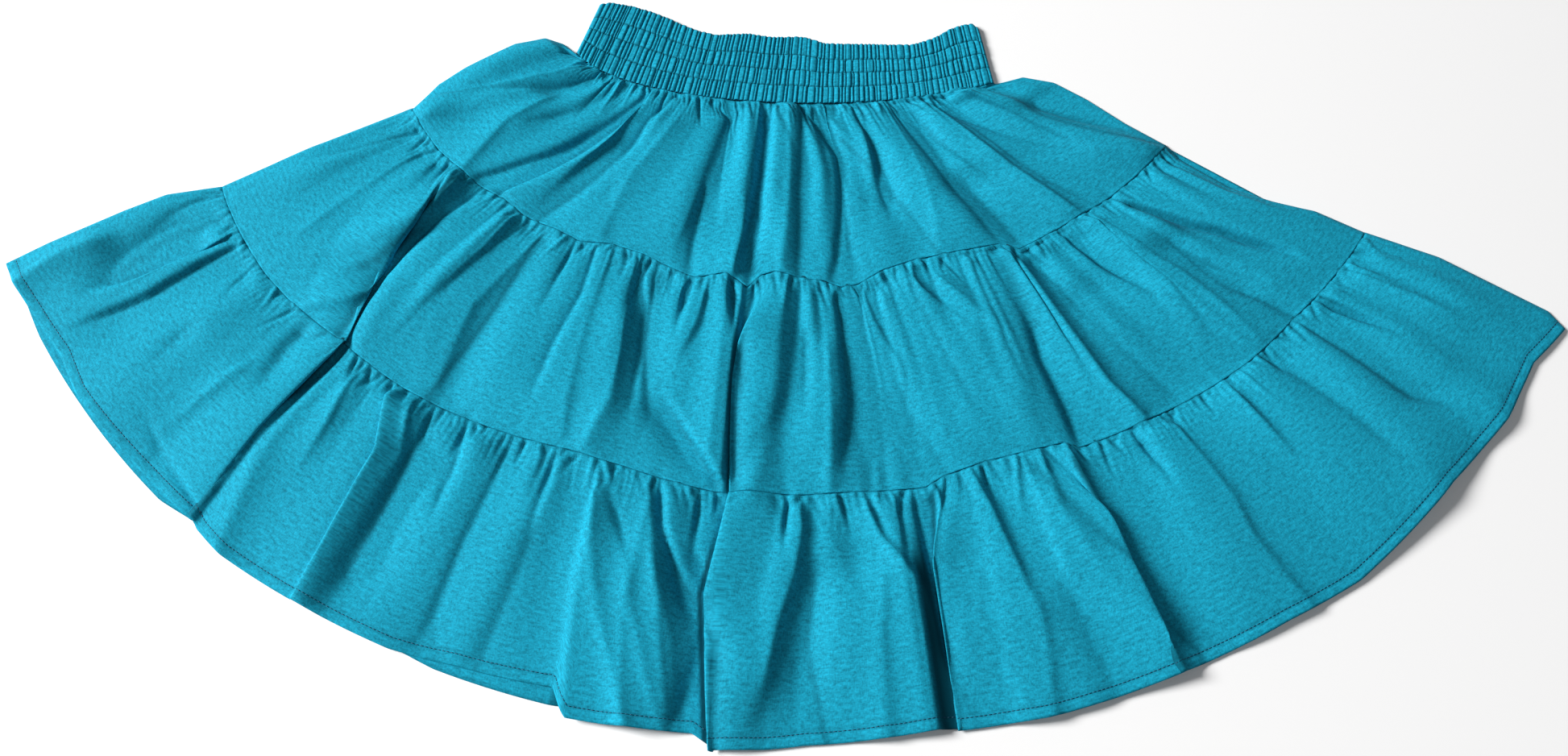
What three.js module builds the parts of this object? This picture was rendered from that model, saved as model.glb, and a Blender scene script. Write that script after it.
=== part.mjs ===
// A three tier gathered square dance skirt, laid flat on its back panels, front side up.
// Millimetres, +Z up, X across the skirt, +Y from the hem towards the waist.
import * as THREE from 'three';

// Cloth
const TEAL = 0x1f8fae;
const WALL = 1;
const SEAM_GAP = 0.3;
const FRONT_EDGE = WALL + SEAM_GAP;

// Waistband: elastic casing with upright ribs over a plain inside
const BAND_WALL = 2;
const BAND_RIBS = 54;
const RIB_HEIGHT = 1.9;

// Loft of the front over the back
const BODY_RISE = 6;
const BODY_RISE_AT_SEAMS = 3.5;
const BODY_RISE_AT_HEM = 1.5;
const SIDE_ROUNDING = 26;
const FOLD_FADE = 0.16;
const LAP_FADE = 0.36;
const LEAN_WITHOUT_GATHERS = 8;

// Where the two seams, the waist and the hem lie: arcs of ellipses, degrees from +X
const BAND_TOP = { x: 38, y: 1015, rx: 561, ry: 707, from: -110.4, to: -76.8 };
const WAIST = { x: 25, y: 310, rx: 204, ry: 63.5, from: -169.4, to: -42.3 };
const FIRST_SEAM = { x: 12, y: 382, rx: 372, ry: 302, from: -151.6, to: -36.4 };
const SECOND_SEAM = { x: 17, y: 307, rx: 505, ry: 397, from: -159, to: -28 };
const HEM = { x: 13, y: 484, rx: 724, ry: 752, from: -149, to: -36.2 };
const RINGS = [WAIST, FIRST_SEAM, SECOND_SEAM, HEM];

// A place on the skirt is its level, 0 at the waist, 1 and 2 at the seams and 3 at the hem,
// and its share across, 0 at the left side and 1 at the right side.

// How far the sides bow out of the straight line between two rings: level, millimetres
const LEFT_BOW = [[0, 0], [0.01, 0], [0.05, 13], [0.13, 25], [0.3, 29], [0.6, 22], [0.8, 15], [1, 0],
  [1.5, 3], [2, 1], [2.25, 12], [2.45, 11], [2.8, 6], [3, 1]];
const RIGHT_BOW = [[0, 0], [0.01, 0], [0.05, 5], [0.13, 16], [0.3, 22], [0.5, 18], [0.75, 9], [1, 3],
  [1.55, -6], [1.75, 2], [2, 2], [2.35, 11], [2.9, 9], [3, 1]];
// The front roll on the right side of the second tier shows the back layer beside it
const RIGHT_ROLL_IN = [[0, 0], [1, 0], [1.08, 6], [1.35, 8], [1.55, 0], [3, 0]];
const BOW_REACH = 0.2;

// How far the hem hangs past its arc: share across, millimetres
const FRONT_HEM_DROP = [[0, 3], [0.067, -4], [0.093, 1], [0.175, -1], [0.188, -4], [0.197, 1],
  [0.217, 4], [0.279, 0], [0.316, -2], [0.348, -9], [0.4, -16], [0.412, 2], [0.47, -3],
  [0.484, 8], [0.524, 1], [0.588, -3], [0.64, 3], [0.706, 3], [0.769, 4], [0.812, 8],
  [0.884, -1], [0.934, 0], [0.972, -6], [1, 2]];
const BACK_HEM_DROP = [[0, -2], [0.05, 3], [0.17, 4], [0.21, -6], [0.3, -6], [0.34, -2],
  [0.4, -4], [0.43, -9], [0.78, -5], [0.97, -9], [1, -5]];

// The large folds. path: level and share across at its bends. height over the body,
// left and right: reach of its flanks, lean: how far its crest hangs over to the right,
// fade: levels over which a lap grows.
const FOLDS = [
  { name: 'left lap', path: [[1, 0.127], [1.5, 0.148], [2, 0.182], [2.5, 0.183], [3, 0.188]],
    height: 15, left: 34, right: 20, lean: 22, fade: LAP_FADE },
  { name: 'middle lap', path: [[1.02, 0.487], [1.5, 0.477], [2, 0.481], [2.45, 0.472], [3, 0.481]],
    height: 12, left: 15, right: 24, lean: -16, fade: LAP_FADE },
  { name: 'right of middle lap', path: [[1.98, 0.607], [2.35, 0.6], [3, 0.599]],
    height: 11, left: 13, right: 24, lean: -14, fade: LAP_FADE },
  { name: 'right lap', path: [[2.02, 0.694], [2.3, 0.701], [3, 0.706]],
    height: 13, left: 30, right: 17, lean: 19, fade: LAP_FADE },
  { name: 'left of middle lap', path: [[2.08, 0.397], [2.5, 0.399], [3, 0.411]],
    height: 11, left: 13, right: 26, lean: -14, fade: LAP_FADE },

  { name: 'left puff', path: [[0.04, 0.03], [0.4, 0.015], [0.97, 0.012]],
    height: 14, left: 30, right: 26, lean: 0 },
  { name: 'second puff', path: [[0.01, 0.2], [0.5, 0.13], [0.98, 0.092]],
    height: 12, left: 30, right: 24, lean: 0 },
  { name: 'bodice ridge 1', path: [[0.01, 0.292], [0.5, 0.25], [0.97, 0.212]],
    height: 13, left: 24, right: 11, lean: 4 },
  { name: 'bodice ridge 2', path: [[0.01, 0.355], [0.5, 0.3], [0.97, 0.262]],
    height: 9, left: 24, right: 17, lean: 0 },
  { name: 'bodice ridge 3', path: [[0.05, 0.458], [0.6, 0.412], [1.02, 0.385]],
    height: 13, left: 30, right: 12, lean: 6 },
  { name: 'bodice ridge 4', path: [[0.01, 0.503], [0.8, 0.462]],
    height: 8, left: 14, right: 12, lean: 0 },
  { name: 'bodice ridge 5', path: [[0.01, 0.56], [0.53, 0.523], [1, 0.503]],
    height: 9, left: 11, right: 13, lean: -3 },
  { name: 'bodice ridge 6', path: [[0.01, 0.606], [0.41, 0.594], [1, 0.552]],
    height: 7, left: 11, right: 10, lean: 0 },
  { name: 'bodice ridge 7', path: [[0.01, 0.65], [0.55, 0.625], [1.02, 0.59]],
    height: 10, left: 11, right: 15, lean: -3 },
  { name: 'bodice ridge 8', path: [[0.01, 0.725], [0.5, 0.7], [1, 0.675]],
    height: 11, left: 18, right: 20, lean: 0 },
  { name: 'bodice ridge 9', path: [[0.01, 0.805], [0.5, 0.79], [1, 0.82]],
    height: 12, left: 18, right: 20, lean: 0 },
  { name: 'bodice ridge 10', path: [[0.01, 0.885], [0.4, 0.9], [1, 0.948]],
    height: 12, left: 20, right: 16, lean: 3 },
  { name: 'right puff', path: [[0.06, 0.975], [0.6, 0.985]],
    height: 9, left: 16, right: 16, lean: 0 },

  { name: 'tier 2 ridge 1', path: [[1.03, 0.03], [1.9, 0.034]],
    height: 7, left: 20, right: 18, lean: 0 },
  { name: 'tier 2 ridge 2', path: [[1.02, 0.084], [1.8, 0.096]],
    height: 8, left: 16, right: 14, lean: 2 },
  { name: 'tier 2 ridge 3', path: [[1.01, 0.206], [1.5, 0.207], [1.97, 0.217]],
    height: 9, left: 14, right: 14, lean: 0 },
  { name: 'tier 2 ridge 4', path: [[0.98, 0.27], [1.5, 0.276], [2.02, 0.288]],
    height: 10, left: 38, right: 36, lean: 0 },
  { name: 'tier 2 ridge 5', path: [[0.98, 0.35], [1.4, 0.364], [1.85, 0.378]],
    height: 14, left: 26, right: 14, lean: 8 },
  { name: 'tier 2 ridge 6', path: [[0.98, 0.42], [1.5, 0.428], [2, 0.424]],
    height: 9, left: 26, right: 24, lean: 0 },
  { name: 'tier 2 ridge 7', path: [[1.02, 0.543], [1.5, 0.538], [2, 0.528]],
    height: 9, left: 15, right: 13, lean: 0 },
  { name: 'tier 2 ridge 8', path: [[1, 0.586], [1.5, 0.584], [1.95, 0.574]],
    height: 9, left: 11, right: 13, lean: 3 },
  { name: 'tier 2 ridge 9', path: [[1.05, 0.617], [1.9, 0.612]],
    height: 9, left: 11, right: 13, lean: 0 },
  { name: 'tier 2 ridge 10', path: [[1, 0.648], [1.5, 0.655], [2.02, 0.648]],
    height: 9, left: 18, right: 20, lean: 0 },
  { name: 'tier 2 ridge 11', path: [[1, 0.718], [1.4, 0.7], [1.95, 0.683]],
    height: 10, left: 14, right: 12, lean: 0 },
  { name: 'tier 2 ridge 12', path: [[1, 0.749], [1.5, 0.735], [2.02, 0.73]],
    height: 13, left: 14, right: 13, lean: 6 },
  { name: 'tier 2 ridge 13', path: [[0.98, 0.79], [1.5, 0.785], [2.02, 0.79]],
    height: 12, left: 24, right: 24, lean: 0 },
  { name: 'tier 2 ridge 14', path: [[1, 0.85], [1.5, 0.847], [1.95, 0.828]],
    height: 10, left: 14, right: 12, lean: 3 },
  { name: 'tier 2 ridge 15', path: [[1, 0.898], [1.5, 0.906], [1.98, 0.922]],
    height: 11, left: 15, right: 18, lean: 0 },
  { name: 'tier 2 ridge 16', path: [[1.02, 0.955], [1.7, 0.96]],
    height: 8, left: 18, right: 18, lean: 0 },

  { name: 'tier 3 ridge 1', path: [[2.02, 0.046], [2.85, 0.047]],
    height: 10, left: 26, right: 12, lean: 6 },
  { name: 'tier 3 ridge 2', path: [[2, 0.102], [3, 0.108]],
    height: 8, left: 46, right: 40, lean: 0 },
  { name: 'tier 3 ridge 3', path: [[2.06, 0.216], [2.75, 0.219]],
    height: 10, left: 22, right: 24, lean: 0 },
  { name: 'tier 3 tuck', path: [[2, 0.243], [2.3, 0.262], [3, 0.268]],
    height: 9, left: 9, right: 12, lean: -7 },
  { name: 'tier 3 ridge 4', path: [[2.02, 0.312], [3, 0.302]],
    height: 7, left: 34, right: 30, lean: 0 },
  { name: 'tier 3 ridge 5', path: [[1.98, 0.362], [3, 0.368]],
    height: 9, left: 36, right: 30, lean: 0 },
  { name: 'tier 3 ridge 6', path: [[2, 0.442], [3, 0.446]],
    height: 7, left: 24, right: 26, lean: 0 },
  { name: 'tier 3 ridge 7', path: [[2, 0.54], [2.5, 0.542], [3, 0.532]],
    height: 9, left: 24, right: 26, lean: 0 },
  { name: 'tier 3 ridge 8', path: [[2, 0.578], [3, 0.578]],
    height: 10, left: 20, right: 12, lean: 5 },
  { name: 'tier 3 ridge 9', path: [[1.98, 0.655], [3, 0.664]],
    height: 8, left: 26, right: 26, lean: 0 },
  { name: 'tier 3 ridge 10', path: [[2, 0.755], [3, 0.752]],
    height: 8, left: 36, right: 36, lean: 0 },
  { name: 'tier 3 ridge 11', path: [[1.98, 0.842], [3, 0.85]],
    height: 10, left: 50, right: 44, lean: 0 },
  { name: 'tier 3 ridge 12', path: [[1.98, 0.93], [3, 0.932]],
    height: 10, left: 26, right: 28, lean: 0 },
  { name: 'tier 3 ridge 13', path: [[2.05, 0.978], [2.95, 0.978]],
    height: 8, left: 18, right: 18, lean: 0 },
];

// Gathers below each seam. drift: uneven spacing, as share of the tier's width.
const GATHERS = [
  { count: 22, height: 2.2, drift: 0.006 },
  { count: 31, height: 2.6, drift: 0.005 },
  { count: 42, height: 2.6, drift: 0.004 },
];
// Height of a gather along its tier, as share of its full height
const GATHER_SHAPE = [[0, 0.15], [0.05, 1], [0.15, 0.9], [0.4, 0.5], [0.8, 0.25], [1, 0.1]];

// Mesh density: columns across and rows down the front and the back of each tier
const TIERS = [
  { name: 'tier_1', columns: 124, rows: [0, 0.05, 0.15, 0.4, 0.7, 1], backRows: [0, 0.05, 0.13, 0.3, 0.6, 1] },
  { name: 'tier_2', columns: 176, rows: [0, 0.05, 0.15, 0.4, 0.7, 1], backRows: [0, 0.5, 1] },
  { name: 'tier_3', columns: 236, rows: [0, 0.05, 0.15, 0.35, 0.6, 0.85, 1], backRows: [0, 0.25, 0.6, 1] },
];
const BACK_COLUMNS = 36;
const STEEP_COLUMNS = 12;
const CREST_MARGIN = 8;
const FLANK_MARGIN = 1.1;

const { lerp, smoothstep, degToRad } = THREE.MathUtils;

// Reads a table of [place, value] rows between its rows
function lookUp(table, place) {
  const next = table.findIndex((row) => row[0] >= place);
  if (next < 0) return table.at(-1)[1];
  if (next === 0) return table[0][1];
  const [fromPlace, fromValue] = table[next - 1];
  const [toPlace, toValue] = table[next];
  return lerp(fromValue, toValue, (place - fromPlace) / (toPlace - fromPlace));
}

function ringPoint(ring, share) {
  const angle = degToRad(lerp(ring.from, ring.to, share));
  return new THREE.Vector2(ring.x + ring.rx * Math.cos(angle), ring.y + ring.ry * Math.sin(angle));
}

// The flat loft between the rings, before the sides bow out and the hem drops
function loftPoint(level, share) {
  const upper = Math.min(Math.floor(level), RINGS.length - 2);
  return ringPoint(RINGS[upper], share).lerp(ringPoint(RINGS[upper + 1], share), level - upper);
}

function outward(level, side) {
  const upper = Math.min(Math.floor(level), RINGS.length - 2);
  const edge = ringPoint(RINGS[upper + 1], side).sub(ringPoint(RINGS[upper], side)).normalize();
  return side === 0 ? new THREE.Vector2(edge.y, -edge.x) : new THREE.Vector2(-edge.y, edge.x);
}

function planPoint(level, share, hemDrop, isFront) {
  const point = loftPoint(level, share);
  const leftPull = Math.max(0, 1 - share / BOW_REACH) ** 2;
  const rightPull = Math.max(0, 1 - (1 - share) / BOW_REACH) ** 2;
  const rollIn = isFront ? lookUp(RIGHT_ROLL_IN, level) : 0;
  point.addScaledVector(outward(level, 0), leftPull * lookUp(LEFT_BOW, level));
  point.addScaledVector(outward(level, 1), rightPull * (lookUp(RIGHT_BOW, level) - rollIn));
  const down = ringPoint(HEM, share).sub(ringPoint(SECOND_SEAM, share)).normalize();
  const dropShare = smoothstep(level, 2.35, 3);
  return point.addScaledVector(down, dropShare * lookUp(hemDrop, share));
}

// A smooth bump, 1 at 0 and 0 from 1 outwards
const bump = (x) => (Math.abs(x) < 1 ? Math.cos((Math.PI / 2) * x) ** 2 : 0);

function widthAt(level) {
  const upper = Math.min(Math.floor(level), RINGS.length - 2);
  const span = (ring) => ringPoint(ring, 0.5 + 0.01).distanceTo(ringPoint(ring, 0.5 - 0.01)) / 0.02;
  return lerp(span(RINGS[upper]), span(RINGS[upper + 1]), level - upper);
}

// Height and lean of one fold at a place
function foldAt(fold, level, share) {
  const start = fold.path[0][0];
  const end = fold.path.at(-1)[0];
  if (level < start || level > end) return { rise: 0, lean: 0 };
  const fade = fold.fade ?? FOLD_FADE;
  const fadeIn = smoothstep(level, start, start + fade);
  const fadeOut = end < RINGS.length - 1 ? smoothstep(-level, -end, -end + fade) : 1;
  const away = (share - lookUp(fold.path, level)) * widthAt(level);
  const form = fadeIn * fadeOut * bump(away / (away < 0 ? fold.left : fold.right));
  return { rise: fold.height * form, lean: fold.lean * form };
}

function gatherRise(tier, down, share) {
  const { count, height, drift } = GATHERS[tier];
  const shift = drift * (Math.sin(23 * share) + 0.7 * Math.sin(57 * share + tier));
  const wave = 0.5 - 0.5 * Math.cos(2 * Math.PI * count * (share + shift));
  const uneven = 0.75 + 0.25 * Math.sin(41 * share + 2 * tier);
  return height * uneven * wave * lookUp(GATHER_SHAPE, down);
}

// Loft of the plain body: low at seams and hem, full between them
function bodyRise(tier, down) {
  const top = tier === 0 ? BODY_RISE_AT_HEM : BODY_RISE_AT_SEAMS;
  const bottom = tier === 2 ? BODY_RISE_AT_HEM : BODY_RISE_AT_SEAMS;
  return lerp(top, bottom, down) + (BODY_RISE - BODY_RISE_AT_SEAMS) * Math.sin(Math.PI * down);
}

// A spot on the front's middle surface, with the direction along its level
function frontSpot(tier, down, share) {
  const level = tier + down;
  let rise = bodyRise(tier, down);
  let lean = 0;
  for (const fold of FOLDS) {
    const part = foldAt(fold, level, share);
    rise += part.rise;
    lean += part.lean;
  }
  rise += gatherRise(tier, down, share) * Math.max(0, 1 - Math.abs(lean) / LEAN_WITHOUT_GATHERS);
  const fromSide = Math.min(share, 1 - share) * widthAt(level);
  const rounding = Math.sqrt(1 - (1 - Math.min(1, fromSide / SIDE_ROUNDING)) ** 2);
  const plan = planPoint(level, share, FRONT_HEM_DROP, true);
  const along = loftPoint(level, share + 0.001).sub(loftPoint(level, share - 0.001)).normalize();
  plan.addScaledVector(along, lean * rounding);
  return {
    point: new THREE.Vector3(plan.x, plan.y, FRONT_EDGE + (WALL / 2 + rise) * rounding),
    along: new THREE.Vector3(along.x, along.y, 0),
  };
}

// The zone of a steep fold, from just before its crest to past its turned flank
function steepZone(fold, level) {
  const middle = lookUp(fold.path, level);
  const turned = fold.lean > 0 ? fold.right : fold.left;
  const before = CREST_MARGIN / widthAt(level);
  const past = (FLANK_MARGIN * turned) / widthAt(level);
  return fold.lean > 0 ? [middle - before, middle + past] : [middle - past, middle + before];
}

// Shares across at one level. Steep folds have the same columns at every level of a tier, closer
// together than those of the plain cloth between them.
function columnShares(tier, level, count) {
  const middleLevel = tier + 0.5;
  const steep = FOLDS
    .filter(({ lean, path }) => lean !== 0 && path[0][0] < middleLevel && path.at(-1)[0] > middleLevel)
    .sort((a, b) => lookUp(a.path, middleLevel) - lookUp(b.path, middleLevel));
  const stopsAt = (at) => [0, ...steep.flatMap((fold) => steepZone(fold, at)), 1];
  const reference = stopsAt(middleLevel);
  const widths = reference.slice(1).map((stop, i) => stop - reference[i]);
  const plainWidth = widths.reduce((sum, width, i) => (i % 2 ? sum : sum + width), 0);
  const plainColumns = count - steep.length * STEEP_COLUMNS;
  const stops = stopsAt(level);
  const table = [[0, 0]];
  widths.forEach((width, i) => {
    const columns = i % 2 ? STEEP_COLUMNS : (plainColumns * width) / plainWidth;
    table.push([table[i][0] + columns, stops[i + 1]]);
  });
  return Array.from({ length: count + 1 }, (_, i) => lookUp(table, i));
}

// Closes two grids of points, an outer and an inner one, into one solid
function solidFromGrids(outer, inner) {
  const rows = outer.length;
  const columns = outer[0].length;
  const points = [...outer.flat(), ...inner.flat()];
  const half = rows * columns;
  const at = (row, column, layer) => layer * half + row * columns + column;
  const index = [];
  const quad = (a, b, c, d) => index.push(a, b, c, a, c, d);
  for (let r = 0; r < rows - 1; r += 1) {
    for (let c = 0; c < columns - 1; c += 1) {
      quad(at(r, c, 0), at(r + 1, c, 0), at(r + 1, c + 1, 0), at(r, c + 1, 0));
      quad(at(r, c, 1), at(r, c + 1, 1), at(r + 1, c + 1, 1), at(r + 1, c, 1));
    }
  }
  for (let c = 0; c < columns - 1; c += 1) {
    quad(at(0, c, 1), at(0, c, 0), at(0, c + 1, 0), at(0, c + 1, 1));
    quad(at(rows - 1, c, 0), at(rows - 1, c, 1), at(rows - 1, c + 1, 1), at(rows - 1, c + 1, 0));
  }
  for (let r = 0; r < rows - 1; r += 1) {
    quad(at(r, 0, 1), at(r + 1, 0, 1), at(r + 1, 0, 0), at(r, 0, 0));
    quad(at(r, columns - 1, 0), at(r + 1, columns - 1, 0), at(r + 1, columns - 1, 1), at(r, columns - 1, 1));
  }
  const geometry = new THREE.BufferGeometry();
  geometry.setAttribute('position', new THREE.Float32BufferAttribute(points.flatMap((p) => p.toArray()), 3));
  geometry.setIndex(index);
  geometry.computeVertexNormals();
  return new THREE.Mesh(geometry, new THREE.MeshStandardMaterial({ color: TEAL, roughness: 0.9, metalness: 0 }));
}

// The rows of a piece, drawn back from the seam at either end by half the seam gap
function drawnBack(rows, length) {
  const back = SEAM_GAP / 2 / length;
  return rows.map((down) => Math.min(Math.max(down, back), 1 - back));
}

function tierLength(tier) {
  return ringPoint(RINGS[tier], 0.5).distanceTo(ringPoint(RINGS[tier + 1], 0.5));
}

// Normals of a grid of spots. Those of a seam row lean along the seam only, and side columns
// face sideways, so that the edges of neighbouring pieces stay parallel.
function gridNormals(grid) {
  const lastRow = grid.length - 1;
  const lastColumn = grid[0].length - 1;
  const between = (from, to) => new THREE.Vector3().subVectors(to.point, from.point);
  return grid.map((row, r) => row.map(({ along }, c) => {
    const across = between(row[Math.max(c - 1, 0)], row[Math.min(c + 1, lastColumn)]);
    const down = between(grid[Math.max(r - 1, 0)][c], grid[Math.min(r + 1, lastRow)][c]);
    const isSeam = r === 0 || r === lastRow;
    if (isSeam) down.set(along.y, -along.x, 0);
    if (c === 0 || c === lastColumn) {
      const rightwards = isSeam ? along.clone() : new THREE.Vector3(-down.y, down.x, 0);
      return rightwards.normalize().multiplyScalar(c === 0 ? -1 : 1);
    }
    return down.cross(across).normalize();
  }));
}

function frontTier(tier) {
  const { name, columns, rows } = TIERS[tier];
  const middle = drawnBack(rows, tierLength(tier)).map((down) => {
    const shares = columnShares(tier, tier + down, columns);
    return shares.map((share) => frontSpot(tier, down, share));
  });
  const normals = gridNormals(middle);
  const offset = (distance) => middle.map((row, r) => row.map(({ point }, c) => (
    point.clone().addScaledVector(normals[r][c], distance))));
  const mesh = solidFromGrids(offset(WALL / 2), offset(-WALL / 2));
  mesh.name = `${name}_front`;
  return mesh;
}

function backTier(tier) {
  const { name, backRows } = TIERS[tier];
  const layer = (z) => drawnBack(backRows, tierLength(tier)).map((down) => (
    Array.from({ length: BACK_COLUMNS + 1 }, (_, c) => {
      const plan = planPoint(tier + down, c / BACK_COLUMNS, BACK_HEM_DROP, false);
      return new THREE.Vector3(plan.x, plan.y, z);
    })));
  const mesh = solidFromGrids(layer(WALL), layer(0));
  mesh.name = `${name}_back`;
  return mesh;
}

function bandPoint(down, share, z) {
  const plan = ringPoint(BAND_TOP, share).lerp(ringPoint(WAIST, share), down);
  return new THREE.Vector3(plan.x, plan.y, z);
}

function waistband() {
  const length = ringPoint(BAND_TOP, 0.5).distanceTo(ringPoint(WAIST, 0.5));
  const rows = [0, 0.5, 1 - SEAM_GAP / length];
  const ribColumns = 2 * BAND_RIBS;
  const grid = (columns, zAt) => rows.map((down) => (
    Array.from({ length: columns + 1 }, (_, c) => bandPoint(down, c / columns, zAt(c)))));
  const insideZ = WALL + SEAM_GAP;
  const ribbed = grid(ribColumns, (c) => insideZ + BAND_WALL + (c % 2 ? RIB_HEIGHT : 0));
  const front = solidFromGrids(ribbed, grid(ribColumns, () => insideZ));
  front.name = 'waistband_front';
  const back = solidFromGrids(grid(BACK_COLUMNS, () => WALL), grid(BACK_COLUMNS, () => 0));
  back.name = 'waistband_back';
  return [front, back];
}

const skirt = new THREE.Group();
skirt.add(...waistband());
TIERS.forEach((_, tier) => skirt.add(frontTier(tier), backTier(tier)));

// The frame's origin is under the middle of the bounding box
const middleOfBox = new THREE.Box3().setFromObject(skirt).getCenter(new THREE.Vector3());
skirt.children.forEach((mesh) => mesh.geometry.translate(-middleOfBox.x, -middleOfBox.y, 0));

export default skirt;
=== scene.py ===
"""A teal three tier square dance skirt, laid flat with its front side up."""

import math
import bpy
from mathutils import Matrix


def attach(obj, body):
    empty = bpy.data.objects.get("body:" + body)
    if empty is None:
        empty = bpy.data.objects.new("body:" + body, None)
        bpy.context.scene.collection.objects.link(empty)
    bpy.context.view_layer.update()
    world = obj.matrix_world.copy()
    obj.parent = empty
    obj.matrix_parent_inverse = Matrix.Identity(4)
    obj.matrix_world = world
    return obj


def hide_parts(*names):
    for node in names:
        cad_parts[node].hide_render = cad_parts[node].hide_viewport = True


bl_info = {
    "name": "Square Dance Skirt",
    "version": (1, 0, 0),
    "blender": (4, 5, 0),
    "location": "View3D > Sidebar > Skirt",
    "description": "Sews the cloth, waistband and stitching of a tiered skirt over its packed model",
    "category": "Object",
}

import bpy
import numpy as np
from bpy.props import FloatProperty, FloatVectorProperty, IntProperty, PointerProperty
from bpy.types import Operator, Panel, PropertyGroup
from mathutils import Vector

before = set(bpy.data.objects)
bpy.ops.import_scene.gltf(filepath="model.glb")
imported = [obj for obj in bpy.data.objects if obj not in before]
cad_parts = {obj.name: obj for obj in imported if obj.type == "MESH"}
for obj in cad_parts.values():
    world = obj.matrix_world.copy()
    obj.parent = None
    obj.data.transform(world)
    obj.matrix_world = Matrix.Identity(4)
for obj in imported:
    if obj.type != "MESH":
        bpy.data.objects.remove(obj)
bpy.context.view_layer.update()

# Sizes below are millimetres on the skirt. Blender's metres come in at the mesh.
MM = 0.001

# Seams, waist and hem are arcs of ellipses: centre x and y, radii, start and end in degrees.
# They are laid out about their own origin, and the part's box is centred on MIDDLE there.
BAND_TOP = (38, 1015, 561, 707, -110.4, -76.8)
WAIST = (25, 310, 204, 63.5, -169.4, -42.3)
FIRST_SEAM = (12, 382, 372, 302, -151.6, -36.4)
SECOND_SEAM = (17, 307, 505, 397, -159, -28)
HEM = (13, 484, 724, 752, -149, -36.2)
RINGS = (WAIST, FIRST_SEAM, SECOND_SEAM, HEM)
MIDDLE = np.array([-5.6, 39.8])

# A place is its level, 0 at the waist, 1 and 2 at the seams and 3 at the hem, and its share
# across, 0 at the left side and 1 at the right. Bows, rolls and drops move the loft's edges.
LEFT_BOW = [(0, 0), (0.01, 0), (0.05, 13), (0.13, 25), (0.3, 29), (0.6, 22), (0.8, 15), (1, 0),
            (1.5, 3), (2, 1), (2.25, 12), (2.45, 11), (2.8, 6), (3, 1)]
RIGHT_BOW = [(0, 0), (0.01, 0), (0.05, 5), (0.13, 16), (0.3, 22), (0.5, 18), (0.75, 9), (1, 3),
             (1.55, -6), (1.75, 2), (2, 2), (2.35, 11), (2.9, 9), (3, 1)]
RIGHT_ROLL_IN = [(0, 0), (1, 0), (1.08, 6), (1.35, 8), (1.55, 0), (3, 0)]
BOW_REACH = 0.2
FRONT_HEM_DROP = [(0, 3), (0.067, -4), (0.093, 1), (0.175, -1), (0.188, -4), (0.197, 1),
                  (0.217, 4), (0.279, 0), (0.316, -2), (0.348, -9), (0.4, -16), (0.412, 2),
                  (0.47, -3), (0.484, 8), (0.524, 1), (0.588, -3), (0.64, 3), (0.706, 3),
                  (0.769, 4), (0.812, 8), (0.884, -1), (0.934, 0), (0.972, -6), (1, 2)]
BACK_HEM_DROP = [(0, -2), (0.05, 3), (0.17, 4), (0.21, -6), (0.3, -6), (0.34, -2),
                 (0.4, -4), (0.43, -9), (0.78, -5), (0.97, -9), (1, -5)]

# Heights: the part's walls, the gap between its layers, the underside of the front, the
# thickness of the front's cloth, and the lowest that its middle may lie
WALL = 1.0
SEAM_GAP = 0.3
FRONT_EDGE = WALL + SEAM_GAP
CLOTH = 0.5
LOWEST = FRONT_EDGE + CLOTH / 2

# The turned hem: its depth and rise, and its row of stitches, with the distance from the edge and
# the width, depth and painted shade of the groove. Then step, length and radius of the stitches, how
# far their ends sink in, and how far they stand off the cloth.
HEM_DEPTH = 9.5
HEM_RISE = 0.25
HEM_STITCH = 8.0
HEM_GROOVE = (1.3, 0.55, 0.3)
STITCH_STEP = 3.2
STITCH_LENGTH = 2.4
THREAD = 0.3
STITCH_SINK = 0.22
STITCH_LIFT = 0.12

# How high the front lies over the back: at the middle of a tier, at the seams, at waist and hem.
# Its sides are rounded over the last width.
BODY_RISE = 8
BODY_RISE_AT_SEAMS = 3.5
BODY_RISE_AT_ENDS = 1.5
SIDE_ROUNDING = 26

# The levels over which a lap starts and ends, the same for a soft fold's top and foot, and the
# width of a soft fold at its top and its foot, against the reach in its row
LAP_FADE = 0.36
TOP_FADE = 0.08
FOOT_FADE = 0.55
FAN_TOP = 0.6
FAN_FOOT = 1.3

# How much of its row's height a lap and a soft fold have here, where creases add theirs, and how
# much of its lean a lap's crest is first moved back
LAP_SIZE = 0.65
SOFT_FOLD = 0.35
LAP_BACK = 0.85

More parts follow.
